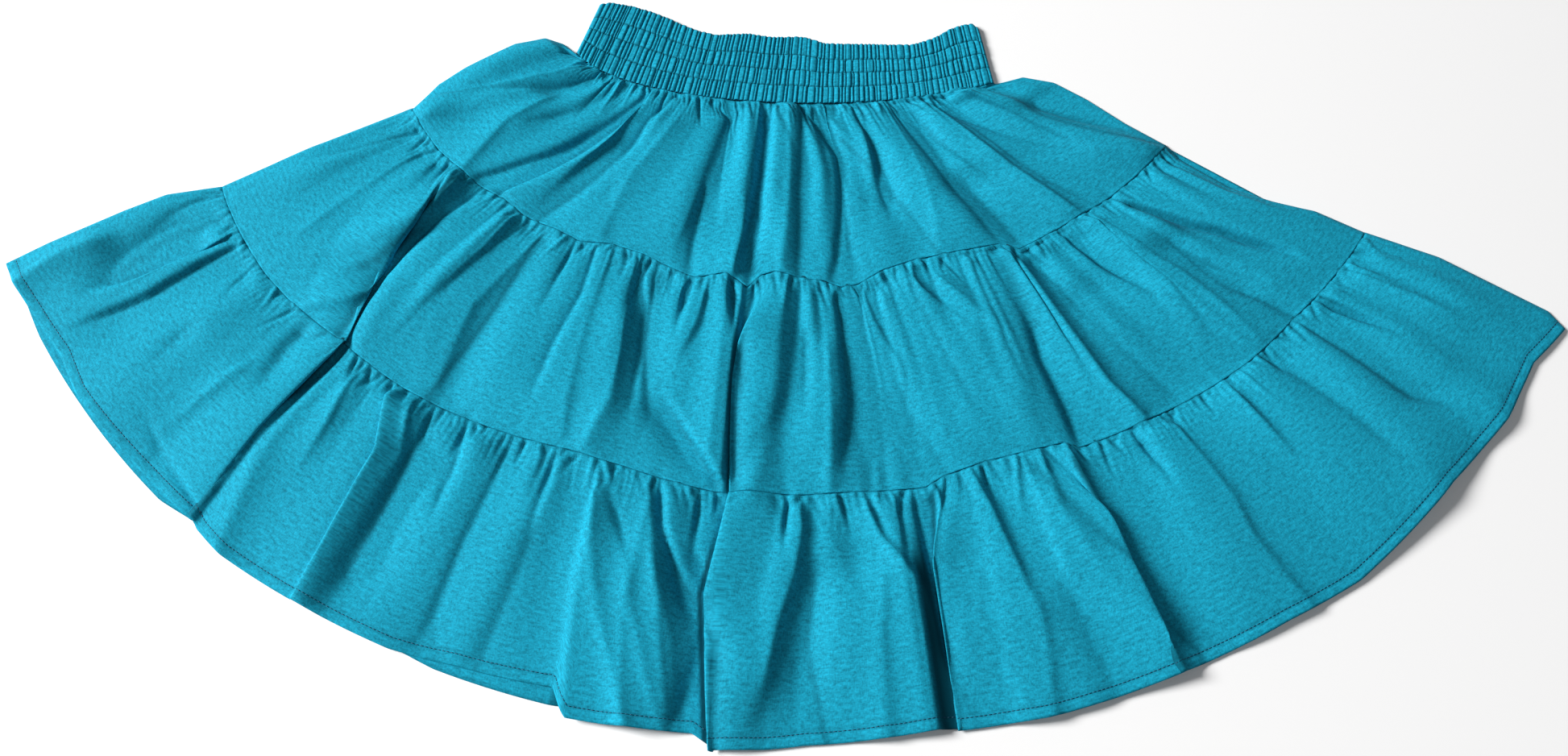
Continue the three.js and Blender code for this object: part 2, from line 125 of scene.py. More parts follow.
# Large folds: path of level and share across, height, reach of the left and the right flank,
# lean of the crest to the right. Laps lean over their neighbours, and the others are soft folds.
# All come from the part, whose fifth lap is only the first of the soft folds here.
LAPS = (
    ([(1, 0.127), (1.5, 0.148), (2, 0.182), (2.5, 0.183), (3, 0.188)], 15, 34, 20, 22),
    ([(1.02, 0.487), (1.5, 0.477), (2, 0.481), (2.45, 0.472), (3, 0.481)], 12, 15, 24, -16),
    ([(1.98, 0.607), (2.35, 0.6), (3, 0.599)], 11, 13, 24, -14),
    ([(2.02, 0.694), (2.3, 0.701), (3, 0.706)], 13, 30, 17, 19),
)
FOLDS = (
    ([(2.08, 0.4), (2.5, 0.402), (3, 0.411)], 4, 16, 26, -4),
    ([(0.04, 0.03), (0.4, 0.015), (0.97, 0.012)], 14, 30, 26, 0),
    ([(0.01, 0.2), (0.5, 0.13), (0.98, 0.092)], 12, 30, 24, 0),
    ([(0.01, 0.292), (0.5, 0.25), (0.97, 0.212)], 13, 24, 11, 4),
    ([(0.01, 0.355), (0.5, 0.3), (0.97, 0.262)], 9, 24, 17, 0),
    ([(0.05, 0.458), (0.6, 0.412), (1.02, 0.385)], 11, 30, 24, 3),
    ([(0.01, 0.503), (0.8, 0.462)], 8, 14, 12, 0),
    ([(0.01, 0.56), (0.53, 0.523), (1, 0.503)], 9, 11, 13, -3),
    ([(0.01, 0.606), (0.41, 0.594), (1, 0.552)], 7, 11, 10, 0),
    ([(0.01, 0.65), (0.55, 0.625), (1.02, 0.59)], 10, 11, 15, -3),
    ([(0.01, 0.725), (0.5, 0.7), (1, 0.675)], 11, 18, 20, 0),
    ([(0.01, 0.805), (0.5, 0.79), (1, 0.82)], 12, 18, 20, 0),
    ([(0.01, 0.885), (0.4, 0.9), (1, 0.948)], 12, 20, 16, 3),
    ([(0.06, 0.975), (0.6, 0.985)], 9, 16, 16, 0),
    ([(1.03, 0.03), (1.9, 0.034)], 7, 20, 18, 0),
    ([(1.02, 0.084), (1.8, 0.096)], 8, 16, 14, 2),
    ([(1.01, 0.206), (1.5, 0.207), (1.97, 0.217)], 9, 14, 14, 0),
    ([(0.98, 0.27), (1.5, 0.276), (2.02, 0.288)], 10, 38, 36, 0),
    ([(0.98, 0.35), (1.4, 0.364), (1.95, 0.38)], 11, 26, 22, 4),
    ([(0.98, 0.42), (1.5, 0.428), (2, 0.424)], 9, 26, 24, 0),
    ([(1.02, 0.543), (1.5, 0.538), (2, 0.528)], 9, 15, 13, 0),
    ([(1, 0.586), (1.5, 0.584), (1.95, 0.574)], 9, 11, 13, 3),
    ([(1.05, 0.617), (1.9, 0.612)], 9, 11, 13, 0),
    ([(1, 0.648), (1.5, 0.655), (2.02, 0.648)], 9, 18, 20, 0),
    ([(1, 0.718), (1.4, 0.7), (1.95, 0.683)], 10, 14, 12, 0),
    ([(1, 0.749), (1.5, 0.735), (2.02, 0.73)], 13, 14, 13, 6),
    ([(0.98, 0.79), (1.5, 0.785), (2.02, 0.79)], 12, 24, 24, 0),
    ([(1, 0.85), (1.5, 0.847), (1.95, 0.828)], 10, 14, 12, 3),
    ([(1, 0.898), (1.5, 0.906), (1.98, 0.922)], 11, 15, 18, 0),
    ([(1.02, 0.955), (1.7, 0.96)], 8, 18, 18, 0),
    ([(2.02, 0.046), (2.85, 0.047)], 10, 26, 12, 6),
    ([(2, 0.102), (3, 0.108)], 8, 46, 40, 0),
    ([(2.06, 0.216), (2.75, 0.219)], 8, 22, 24, 0),
    ([(2, 0.243), (2.3, 0.262), (3, 0.268)], 9, 9, 12, -7),
    ([(2.02, 0.312), (3, 0.302)], 7, 34, 30, 0),
    ([(1.98, 0.362), (3, 0.368)], 9, 36, 30, 0),
    ([(2, 0.442), (3, 0.446)], 7, 24, 26, 0),
    ([(2, 0.54), (2.5, 0.542), (3, 0.532)], 9, 24, 26, 0),
    ([(2, 0.578), (3, 0.58)], 10, 20, 11, 1),
    ([(1.98, 0.655), (3, 0.664)], 8, 26, 26, 0),
    ([(2, 0.755), (3, 0.752)], 8, 36, 36, 0),
    ([(1.98, 0.842), (3, 0.85)], 10, 50, 44, 0),
    ([(1.98, 0.93), (3, 0.932)], 10, 26, 28, 0),
    ([(2.05, 0.978), (2.95, 0.978)], 8, 18, 18, 0),
)

# The shadow at a lap's edge, a dark core and a softer rim: darkness, reach under the lap and
# reach beyond it. Then the levels over which it starts and ends.
LAP_SHADOWS = ((1.0, 2.5, 3), (0.4, 3, 9))
LAP_SHADOW_FADE = 0.1

# Deep narrow gaps beside the laps, where little light falls: tier, path of share across and
# share down, half width at the top and at the foot. Over 1 the darkness fills more of the width.
GAPS = (
    (1, [(0.475, 0.15), (0.474, 0.6), (0.478, 1.0)], 2.5, 3.5),
    (2, [(0.588, 0.1), (0.5912, 0.4), (0.5932, 1.0)], 3.5, 9),
    (2, [(0.4755, 0.05), (0.4665, 0.45), (0.4765, 1.0)], 2, 3),
)
GAP_DARKNESS = 1.17
GAP_FADE = 0.3

# How far the sewn seams wander from their arcs: share across and millimetres down the skirt.
SEAM_WANDER = (
    [(0, 0), (1, 0)],
    [(0, -8), (0.025, -6), (0.078, -3), (0.15, -3), (0.188, -4.5), (0.221, -1.5), (0.262, -3),
     (0.295, -1), (0.329, -8), (0.368, -7), (0.426, 3), (0.455, -2), (0.47, 1), (0.48, 6.5),
     (0.496, -5), (0.51, -8), (0.534, -4), (0.562, -0.5), (0.577, 5), (0.595, 3.5), (0.624, -5.5),
     (0.665, -11), (0.712, -8.5), (0.755, -4), (0.77, 5.5), (0.809, 3), (0.895, 2), (1, 0)],
    [(0, -2), (0.059, 0), (0.097, 1), (0.129, 0), (0.162, -4), (0.175, -7.5), (0.19, -3.5),
     (0.245, -1), (0.315, -3), (0.371, -6), (0.409, -4), (0.433, -0.5), (0.46, 3), (0.481, 5.5),
     (0.5, 3), (0.522, 3.8), (0.556, 2), (0.601, 3), (0.615, -4), (0.644, -9), (0.675, -8.7),
     (0.697, -7), (0.704, -0.5), (0.762, -1), (0.802, -1), (0.845, -1.5), (0.898, -5.5), (1, -4)],
    [(0, 0), (1, 0)],
)
# The share of a tier's depth over which a seam's wander carries the cloth along with it
WANDER_REACH = 0.45

# Creases of each tier: path in thousandths across and hundredths down the tier, height with
# valleys below zero, and the reach of its left and right face
CREASES = ([
    ([(159, 2), (118, 24), (52, 56), (9, 92)], -2.8, 9.3, 40),
    ([(132, 24), (78, 42)], -4, 14, 7.9),
    ([(181, 30), (139, 52)], -2.3, 6.7, 9.8),
    ([(291, 0), (218, 49), (175, 74), (144, 96)], -2, 3.1, 31),
    ([(300, 2), (246, 40), (181, 96)], -3.6, 7.1, 2.5),
    ([(384, 10), (364, 25), (326, 55), (313, 97)], 1.1, 15, 10),
    ([(358, 2), (321, 20), (302, 50)], -3.9, 13, 6),
    ([(460, 4), (440, 31), (415, 63), (398, 90)], 0.8, 33, 2.5),
    ([(525, 2), (489, 53), (482, 97)], -1.3, 3, 12),
    ([(536, 2), (510, 40), (472, 90)], -4.1, 34, 18),
    ([(597, 2), (556, 52), (535, 96)], -3.2, 11, 26),
    ([(598, 2), (630, 32), (601, 64), (567, 100)], -2, 3.9, 18),
    ([(641, 3), (657, 25), (670, 42)], 2.5, 43, 11),
    ([(691, 2), (683, 30), (661, 65)], -3.2, 3.6, 22),
    ([(718, 2), (714, 16), (709, 30)], -1.1, 4.1, 7.9),
    ([(758, 2), (753, 24), (751, 53), (753, 79), (756, 98)], -1.6, 7.2, 24),
    ([(789, 3), (783, 30), (800, 60)], -2.5, 11, 17),
    ([(821, 2), (843, 30), (847, 56), (856, 78), (873, 100)], 0.6, 48, 2.5),
    ([(885, 4), (908, 35), (927, 70)], -3.2, 18, 5.7),
    ([(933, 4), (939, 45), (964, 72), (1001, 100)], -3.2, 12, 43),
    ([(524, 0), (493, 50), (464, 100)], 3.7, 17, 3.6),
    ([(645, 0), (622, 50), (587, 100)], -2, 5.9, 19),
    ([(650, 0), (639, 25), (630, 50)], -1.9, 5.1, 3.3),
    ([(590, 0), (512, 38), (452, 75)], 1.6, 23, 28),
    ([(624, 0), (673, 50), (690, 100)], -2.4, 22, 48),
    ([(464, 0), (424, 50), (417, 100)], -1.9, 7.5, 9.5),
    ([(465, 0), (454, 38), (446, 75)], -0.7, 21, 2.5),
    ([(750, 0), (727, 50), (691, 100)], 2.9, 12, 46),
    ([(112, 0), (57, 50), (4, 100)], 2.2, 2.5, 23),
    ([(576, 0), (544, 50), (514, 100)], 1.9, 6.4, 15),
    ([(772, 0), (768, 38), (737, 75)], -2.6, 32, 48),
    ([(772, 50), (773, 75), (775, 100)], -3.1, 15, 48),
    ([(132, 25), (115, 62), (123, 100)], 1.5, 17, 5.8),
    ([(706, 0), (677, 25), (658, 50)], 2.2, 6.2, 18),
    ([(306, 0), (255, 50), (176, 100)], 3.3, 9.2, 44),
    ([(679, 0), (733, 50), (764, 100)], 2.5, 34, 30),
    ([(912, 0), (947, 50), (991, 100)], 4.5, 27, 14),
    ([(319, 25), (282, 62), (235, 100)], -3, 32, 14),
    ([(113, 25), (77, 62), (26, 100)], 0.5, 11, 8.5),
    ([(824, 0), (833, 50), (853, 100)], 2.4, 20, 5.5),
    ([(559, 0), (533, 50), (542, 100)], 1.6, 24, 48),
    ([(113, 25), (65, 62), (22, 100)], 1.1, 18, 14),
    ([(938, 25), (960, 50), (988, 75)], -3.2, 14, 35),
    ([(891, 0), (902, 25), (915, 50)], 1.8, 3.5, 12),
    ([(813, 0), (818, 50), (842, 100)], 0.9, 11, 16),
    ([(837, 0), (898, 50), (959, 100)], -0.4, 28, 7.2),
    ([(111, 25), (64, 62), (20, 100)], 1.1, 19, 17),
    ([(822, 0), (874, 38), (921, 75)], -1.4, 5.7, 17),
    ([(248, 0), (288, 50), (330, 100)], -0.6, 20, 15),
], [
    ([(67, 6), (77, 40), (84, 78)], 1.5, 14, 9.3),
    ([(37, 4), (19, 50)], -2.3, 17, 11),
    ([(154, 42), (165, 88)], 2.6, 5.1, 2.5),
    ([(158, 2), (156, 40), (182, 98)], -2, 13, 4),
    ([(229, 1), (218, 33), (215, 65), (215, 89)], -0.5, 5.3, 4.8),
    ([(252, 2), (246, 50), (265, 95)], 2.9, 23, 13),
    ([(290, 2), (299, 35)], -1.3, 4.3, 3.5),
    ([(312, 0), (326, 26), (326, 52), (330, 78)], -1.8, 11, 2.5),
    ([(361, 3), (386, 23), (396, 45), (402, 75)], -2.5, 41, 4.2),
    ([(367, 20), (379, 45), (385, 70), (380, 95)], 2.7, 13, 17),
    ([(422, 3), (421, 27)], -4.2, 5, 2.5),
    ([(440, 3), (438, 25), (428, 43)], 1.5, 45, 2.7),
    ([(463, 2), (471, 24)], -4.5, 3, 11),
    ([(419, 60), (446, 79), (470, 96)], -3.9, 25, 2.5),
    ([(537, 1), (531, 18), (522, 39), (516, 58), (491, 98)], -1.4, 7.8, 19),
    ([(537, 20), (528, 66)], -1.8, 4.2, 19),
    ([(570, 2), (570, 19), (567, 35), (563, 59), (551, 89)], -2.9, 3.8, 48),
    ([(596, 1), (599, 20), (610, 45), (607, 69)], 1.3, 25, 3.4),
    ([(630, 35), (626, 59), (623, 90)], 0.4, 4.7, 6.6),
    ([(646, 2), (652, 14), (673, 30)], 2.4, 48, 3.9),
    ([(667, 4), (688, 25), (707, 42)], 2.6, 16, 13),
    ([(719, 4), (708, 25), (701, 44), (696, 62)], -1.8, 12, 2.5),
    ([(744, 3), (729, 38), (717, 56), (712, 79), (706, 100)], -2.8, 5.3, 48),
    ([(762, 2), (754, 36), (751, 55), (749, 78), (754, 96)], 3.5, 13, 8.4),
    ([(772, 3), (776, 28), (775, 52)], -1.8, 7.5, 25),
    ([(822, 2), (823, 26), (833, 46)], -2.4, 2.5, 38),
    ([(857, 1), (858, 25), (857, 46), (853, 66), (854, 88)], 0.8, 4, 6.2),
    ([(894, 2), (895, 26), (888, 44), (879, 72)], 0.4, 13, 2.6),
    ([(898, 2), (917, 21), (939, 48), (944, 66), (947, 78)], -4.5, 8.4, 2.5),
    ([(883, 62), (895, 87), (898, 98)], -1.6, 4.9, 19),
    ([(979, 5), (985, 33), (987, 60)], 1.5, 11, 3.5),
    ([(213, 0), (217, 25), (215, 50)], 1.4, 6.2, 3.5),
    ([(476, 0), (472, 50), (473, 100)], 2.2, 21, 2.5),
    ([(118, 0), (144, 25), (147, 50)], 3.2, 9.8, 33),
    ([(251, 0), (263, 50), (264, 100)], -4.5, 35, 27),
    ([(584, 0), (583, 50), (576, 100)], -1.7, 5.3, 8.3),
    ([(218, 0), (209, 50), (257, 100)], 1.2, 48, 20),
    ([(670, 25), (673, 62), (689, 100)], 0.8, 13, 41),
    ([(554, 25), (548, 62), (540, 100)], 1.9, 7.8, 9.4),
    ([(591, 0), (581, 50), (567, 100)], -1.4, 12, 3.8),
    ([(112, 0), (124, 38), (131, 75)], -4, 48, 48),
    ([(858, 0), (871, 50), (863, 100)], 0.7, 15, 3),
    ([(132, 0), (152, 50), (140, 100)], 2.2, 13, 5),
    ([(385, 0), (396, 38), (417, 75)], -3, 8.4, 48),
    ([(605, 0), (602, 50), (615, 100)], -1.2, 14, 21),
    ([(621, 0), (611, 50), (592, 100)], -1.2, 10, 9),
    ([(861, 0), (876, 25), (882, 50)], 1.6, 18, 42),
    ([(330, 0), (347, 50), (365, 100)], 1.2, 30, 4.7),
    ([(120, 0), (116, 38), (115, 75)], 4, 21, 14),
    ([(461, 0), (462, 50), (463, 100)], 0.9, 16, 7.1),
    ([(499, 25), (494, 62), (494, 100)], -4.5, 15, 5.4),
    ([(161, 25), (177, 62), (200, 100)], 1.7, 22, 20),
    ([(154, 25), (139, 62), (161, 100)], -4.5, 14, 17),
    ([(858, 0), (863, 50), (870, 100)], 0.4, 12, 8),
    ([(523, 0), (511, 50), (501, 100)], 1.9, 11, 5.9),
    ([(786, 25), (777, 62), (785, 100)], -2, 13, 48),
    ([(581, 25), (590, 62), (603, 100)], -0.9, 15, 18),
    ([(645, 0), (648, 38), (652, 75)], -2, 10, 29),
    ([(679, 25), (675, 62), (680, 100)], 1, 23, 17),
    ([(860, 0), (868, 50), (874, 100)], 0.9, 17, 26),
    ([(889, 25), (895, 50), (906, 75)], -3.2, 26, 19),
], [
    ([(61, 1), (65, 29), (66, 51), (61, 73), (58, 86)], -2.4, 2.7, 48),
    ([(54, 10), (42, 70)], -4, 26, 2.5),
    ([(5, 2), (25, 40)], -1.1, 6.9, 15),
    ([(84, 2), (96, 22)], -1, 4.5, 12),
    ([(100, 36), (106, 70)], -1.2, 8, 19),
    ([(147, 30), (146, 45), (145, 70)], 1.8, 8.2, 4.1),
    ([(148, 1), (150, 18), (156, 40)], -2.6, 3.7, 9.5),
    ([(126, 80), (177, 95)], -2.3, 11, 3.2),
    ([(193, 50), (201, 74), (202, 76)], 0.5, 6.8, 4.5),
    ([(209, 3), (219, 30), (222, 50)], 0.9, 7.9, 2.8),
    ([(256, 1), (270, 26), (270, 44), (271, 68), (271, 98)], 2.7, 40, 10),
    ([(274, 10), (277, 60), (277, 90)], -4.2, 19, 47),
    ([(273, 2), (278, 28)], -1.5, 3.1, 9),
    ([(299, 2), (306, 40)], -2.8, 5.2, 3.5),
    ([(364, 2), (364, 30)], -3, 7.6, 2.6),
    ([(403, 10), (425, 36)], -1.3, 2.5, 5.9),
    ([(434, 1), (440, 20), (455, 41), (493, 70)], -3.1, 10, 2.5),
    ([(460, 2), (460, 30)], -1.7, 3.2, 9.2),
    ([(515, 1), (513, 20)], -3.5, 2.8, 2.5),
    ([(521, 1), (523, 15), (519, 35), (510, 55), (499, 92)], 2.9, 24, 6.4),
    ([(532, 2), (547, 28), (558, 50)], -1.6, 35, 48),
    ([(561, 2), (570, 22), (591, 45)], 2, 11, 2.8),
    ([(593, 2), (595, 36), (597, 70), (606, 100)], -2.1, 2.8, 18),
    ([(630, 0), (638, 19), (644, 42), (648, 60)], 2.9, 22, 7.1),
    ([(679, 0), (673, 24), (681, 55)], 1.5, 9.1, 2.7),
    ([(669, 2), (682, 40), (721, 95)], -3.6, 47, 48),
    ([(744, 3), (749, 24)], -3.4, 4.9, 2.5),
    ([(769, 2), (775, 31), (777, 46), (775, 64), (783, 100)], 1.3, 24, 5.6),
    ([(818, 2), (823, 42)], 2.1, 16, 4.1),
    ([(859, 2), (870, 50), (873, 80)], -1.5, 7.8, 39),
    ([(895, 1), (900, 29), (905, 62), (924, 86)], -2.3, 6.2, 48),
    ([(922, 2), (933, 35)], -4.3, 4.2, 2.5),
    ([(956, 3), (962, 42), (968, 62)], 2.1, 11, 6.4),
    ([(459, 25), (489, 62), (492, 100)], -2.9, 7.4, 5.5),
    ([(431, 25), (453, 62), (463, 100)], 1.1, 6.1, 38),
    ([(532, 25), (525, 62), (534, 100)], -3.5, 23, 48),
    ([(632, 0), (619, 50), (616, 100)], -0.5, 14, 4),
    ([(400, 10), (404, 62), (410, 100)], 1, 6, 12),
    ([(695, 0), (705, 50), (708, 100)], 3.3, 5.7, 9.1),
    ([(367, 25), (364, 62), (360, 100)], -2.4, 12, 48),
    ([(429, 0), (428, 50), (456, 100)], 1, 7.7, 11),
    ([(332, 0), (329, 50), (330, 100)], -1.5, 5.7, 18),
    ([(476, 0), (483, 50), (458, 100)], -2.3, 11, 24),
    ([(894, 0), (885, 50), (877, 100)], 2.8, 27, 40),
    ([(392, 0), (410, 50), (438, 100)], 1.5, 6.4, 12),
    ([(627, 0), (614, 50), (603, 100)], -1.4, 18, 8.9),
    ([(570, 25), (564, 62), (563, 100)], 3.1, 39, 12),
    ([(426, 0), (444, 50), (459, 100)], 1.5, 11, 8.4),
    ([(616, 0), (608, 50), (609, 100)], -1.6, 4.9, 9.5),
    ([(187, 25), (188, 62), (191, 100)], 2.8, 13, 2.5),
    ([(666, 0), (670, 50), (709, 100)], 3.3, 8.6, 48),
    ([(195, 0), (197, 50), (214, 100)], 2.1, 20, 14),
    ([(191, 0), (183, 50), (181, 100)], -4.1, 34, 11),
    ([(17, 50), (13, 75), (16, 100)], 2.8, 12, 15),
    ([(445, 25), (463, 62), (494, 100)], -1.4, 40, 15),
    ([(33, 0), (33, 38), (43, 75)], -1.7, 17, 23),
    ([(423, 25), (428, 62), (436, 100)], 1.8, 13, 14),
    ([(457, 25), (465, 50), (478, 75)], -1.8, 18, 20),
    ([(650, 50), (648, 75), (643, 100)], 1.8, 48, 7.9),
    ([(609, 25), (609, 62), (613, 100)], -1.6, 5.6, 17),
    ([(585, 25), (586.5, 62), (587.5, 100)], 2.1, 9.6, 3.9),
])
# Scale of the heights, share down the tier over which a crease ends, and the power of its fall to
# the sides, which is higher, so rounder, for creases with a reach between the two given
CREASE_HEIGHT = 2.2
CREASE_FADE = 0.22
CREASE_EDGE = 1.08
ROUNDER_EDGE = 0.7
ROUNDER_REACH = (8, 24)
# The line of painted shade in a valley: its darkness, the depth of valley that has it in full, its
# half width
VALLEY_LINE = (0.7, 5, 2.8)

# A small dark mark on the cloth: tier, share across, share down, half its width and its height,
# and its darkness
MARK = (2, 0.458, 0.035, 4.5, 2.5)
MARK_DARKNESS = 0.8

# Short puckers under the gathered seam of each tier: how many across, scale of their heights,
# lengths with the chance of each, how fast they widen and the power of their fall to the sides
PUCKERS = (60, 84, 112)
PUCKER_HEIGHTS = (1.7, 1.35, 1.35)
PUCKER_LENGTHS = (10, 17, 28, 48)
PUCKER_CHANCES = (0.34, 0.34, 0.22, 0.1)
PUCKER_SPREAD = 0.07
PUCKER_EDGE = 1.3

# Cloth strips: columns, rows, how much fuller than the shape under it a strip is at its top, a
# little further down and at its foot, and the spacing of the gathers it buckles into
STRIPS = (
    {"columns": 460, "rows": 78, "fullness": (1.12, 1.02, 1.0), "pucker": 11},
    {"columns": 600, "rows": 76, "fullness": (1.09, 1.015, 1.0), "pucker": 13},
    {"columns": 712, "rows": 66, "fullness": (1.09, 1.015, 1.0), "pucker": 14},
)
FULLNESS_PLACES = (0, 0.22, 1)
# The flat cut of the band, across and down one side of the skirt
BAND_CUT = (560, 53)

# The settling: slack down the strip, share of the fullness and stiffness on the slant, pull to
# the drawn shape in the open, at the sides and on the laps, and how far it sinks in each round
DOWN_SLACK = 1.004
SLANT_FULLNESS = 0.5
SLANT_STIFFNESS = 0.25
HOLD = 0.03
SIDE_HOLD = 0.2
LAP_HOLD = 0.3
SINK = 0.01
# Waves that buckling starts from: spacing against the gathers', share down they reach, height
START_WAVES = ((1, 0.12, 0.5), (1.9, 0.3, 0.45), (3.6, 0.8, 0.35))

# Seeds of all random draws
RIB_SEED = 5
SETTLE_SEED = 11
ROW_SEED = 40
PUCKER_SEED = 70

# The waistband: grooves of its shirring, rise of the ribs between them, half width of a groove,
# depths of its rows of elastic thread, and how far its top edge wanders down from its arc
BAND_RIBS = 94
RIB_RISE = 1.9
RIB_GROOVE = 0.72
STITCH_ROWS = (14.5, 26.5, 39)
BAND_TOP_WANDER = [
    (0, 4), (0.028, -2), (0.08, -5.5), (0.135, -6), (0.19, -4), (0.22, -1.6), (0.27, 1.4),
    (0.32, 2), (0.35, -0.7), (0.4, -4.4), (0.46, -3.4), (0.525, -5.5), (0.55, -5), (0.6, 0.6),
    (0.67, 1.7), (0.72, 2.9), (0.77, 5.3), (0.82, 7.5), (0.87, 4.8), (0.9, 1.5), (0.927, -2.4),
    (0.96, -3.7), (0.985, -2.5), (1, 4)]
# Its front and back layer: columns, even rows, and extra rows at these distances from stitching.
# Then the front's thickness, the painted shade of the grooves, and the relief of the back layer.
BAND_FRONT_GRID = (816, 30, (-1.6, -0.8, -0.35, 0, 0.35, 0.8, 1.6))
BAND_BACK_GRID = (470, 14, (-0.9, 0, 0.9))
BAND_CLOTH = 0.6
BAND_DARKNESS = 0.85
BAND_BACK_RISE = 0.6

# The back lies pressed flat: its grid, wall, middle height, highest middle, share of relief left,
# painted shade of its creases and of its rows by the seams
BACK_GRID = (380, 36)
BACK_WALL = 0.4
BACK_MIDDLE = 0.5
BACK_TOP = 0.95
BACK_RELIEF = 0.07
BACK_DARKNESS = 0.8
BACK_SEAM_ROWS = ((0, 0.9), (1, 0.5), (-1, 0.35))

# The seams. The strip below is tucked in and sunk, with its tuck deeper still. The strip above
# ends in rows at these shares of its last step, each dropped a little, and rolls over it. The
# heights of both blend over SEAM_BLEND, and shade is painted on the cloth under the seam, beside it
# and at the roll.
SEAM_TUCK = 1.6
SEAM_SINK = 1.1
TUCK_SINK = 0.5
SEAM_ROLL = ((0.6, 0), (0.95, 0.2), (1.15, 0.75))
SEAM_BLEND = 7
UNDER_SEAM_DARKNESS = 0.95
BESIDE_SEAM_DARKNESS = 0.45
ROLL_DARKNESS = 0.5
# The side's turn down to the back: steps out, share of the edge's height kept, height added
SIDE_TURN = ((0.5, 0, 0.85), (0.55, 0.35, 0.78))

# The photograph's width and focal length in pixels, the camera's sensor, and the lamps with
# place, size, power and colour. Then the colour and strength of the room's light.
PHOTO_WIDTH = 1946
PHOTO_FOCAL = 1560
SENSOR_WIDTH = 36
LAMPS = (
    ("window", (-6.3, 1.1, 3.6), 2.6, 1120, (1, 0.99, 0.98)),
    ("room", (1.2, -1.8, 5.0), 4.0, 36, (0.98, 0.99, 1)),
)
WORLD_LIGHT = ((0.9, 0.95, 1, 1), 0.13)
FLOOR_COLOUR = (0.86, 0.86, 0.86, 1)


def running(steps):
    """Length run at each point, from the steps between the points."""
    return np.concatenate([[0], np.cumsum(steps)])


def row_places(count):
    """Places of a strip's rows, closer together by its two seams."""
    even = np.linspace(0, 1, count)
    return even - 0.3 * np.sin(2 * math.pi * even) / (2 * math.pi)


def read(table, place):
    """Value of a table of (place, value) rows at a place or an array of places."""
    places, values = zip(*table)
    return np.interp(place, places, values)


def unit(ways):
    """The same ways, each of length 1."""
    return ways / np.linalg.norm(ways, axis=-1, keepdims=True)


def smooth(value, low, high):
    """A soft step from 0 at low to 1 at high."""
    share = np.clip((value - low) / (high - low), 0, 1)
    return share * share * (3 - 2 * share)


def bump(x):
    """A soft crest of height 1 at 0 that ends at -1 and 1."""
    return np.where(np.abs(x) < 1, np.cos(np.clip(x, -1, 1) * math.pi / 2) ** 2, 0.0)


def ring_point(ring, share):
    """Points of a ring at shares across."""
    x, y, rx, ry, start, end = ring
    angle = np.radians(start + (end - start) * np.asarray(share, float))
    return np.stack([x + rx * np.cos(angle), y + ry * np.sin(angle)], axis=-1)


def down_tier(tier, share):
    """The ways from the ring over a tier to the ring under it."""
    return ring_point(RINGS[tier + 1], share) - ring_point(RINGS[tier], share)


def split(level):
    """The ring over a level and how far it is from there to the next."""
    upper = min(int(level), len(RINGS) - 2)
    return upper, level - upper


def loft_row(level, share):
    """Points of the flat loft between the rings at one level."""
    upper, part = split(level)
    return ring_point(RINGS[upper], share) * (1 - part) + ring_point(RINGS[upper + 1], share) * part


def outward(level, side):
    """The way out of the skirt at its left side, 0, or its right, 1."""
    upper, _ = split(level)
    edge = down_tier(upper, side)
    edge = edge / np.linalg.norm(edge)
    return np.array([edge[1], -edge[0]]) if side == 0 else np.array([-edge[1], edge[0]])


def width_at(level):
    """Width of the skirt at a level, at the scale that its middle has."""
    upper, part = split(level)
    spans = [np.linalg.norm(ring_point(ring, 0.51) - ring_point(ring, 0.49)) / 0.02
             for ring in RINGS[upper:upper + 2]]
    return spans[0] + (spans[1] - spans[0]) * part


def tier_depth(tier):
    """Depth of a tier in plan, down its middle."""
    return np.linalg.norm(down_tier(tier, 0.5))


def even_ring(ring, share):
    """Points of a ring at even steps of its length."""
    fine = ring_point(ring, np.linspace(0, 1, 2000))
    run = running(np.linalg.norm(np.diff(fine, axis=0), axis=1))
    place = np.asarray(share) * run[-1]
    return np.column_stack([np.interp(place, run, fine[:, 0]), np.interp(place, run, fine[:, 1])])


def band_depths(count, near_stitches):
    """Depths of a waistband's rows of points, closer together by its edge and its stitching."""
    steps = set(np.round(np.linspace(0, BAND_CUT[1], count), 2)) | {0.3, 0.9}
    for row in STITCH_ROWS:
        steps |= {round(row + step, 2) for step in near_stitches}
    return sorted(steps)


def band_plan(share, depth):
    """Places of a waistband's points at one depth, with its wavy top edge."""
    top, foot = even_ring(BAND_TOP, share), even_ring(WAIST, share)
    down = depth / BAND_CUT[1]
    wander = read(BAND_TOP_WANDER, share) * (1 - down) ** 1.2
    return top * (1 - down) + foot * down + unit(foot - top) * wander[:, None] - MIDDLE


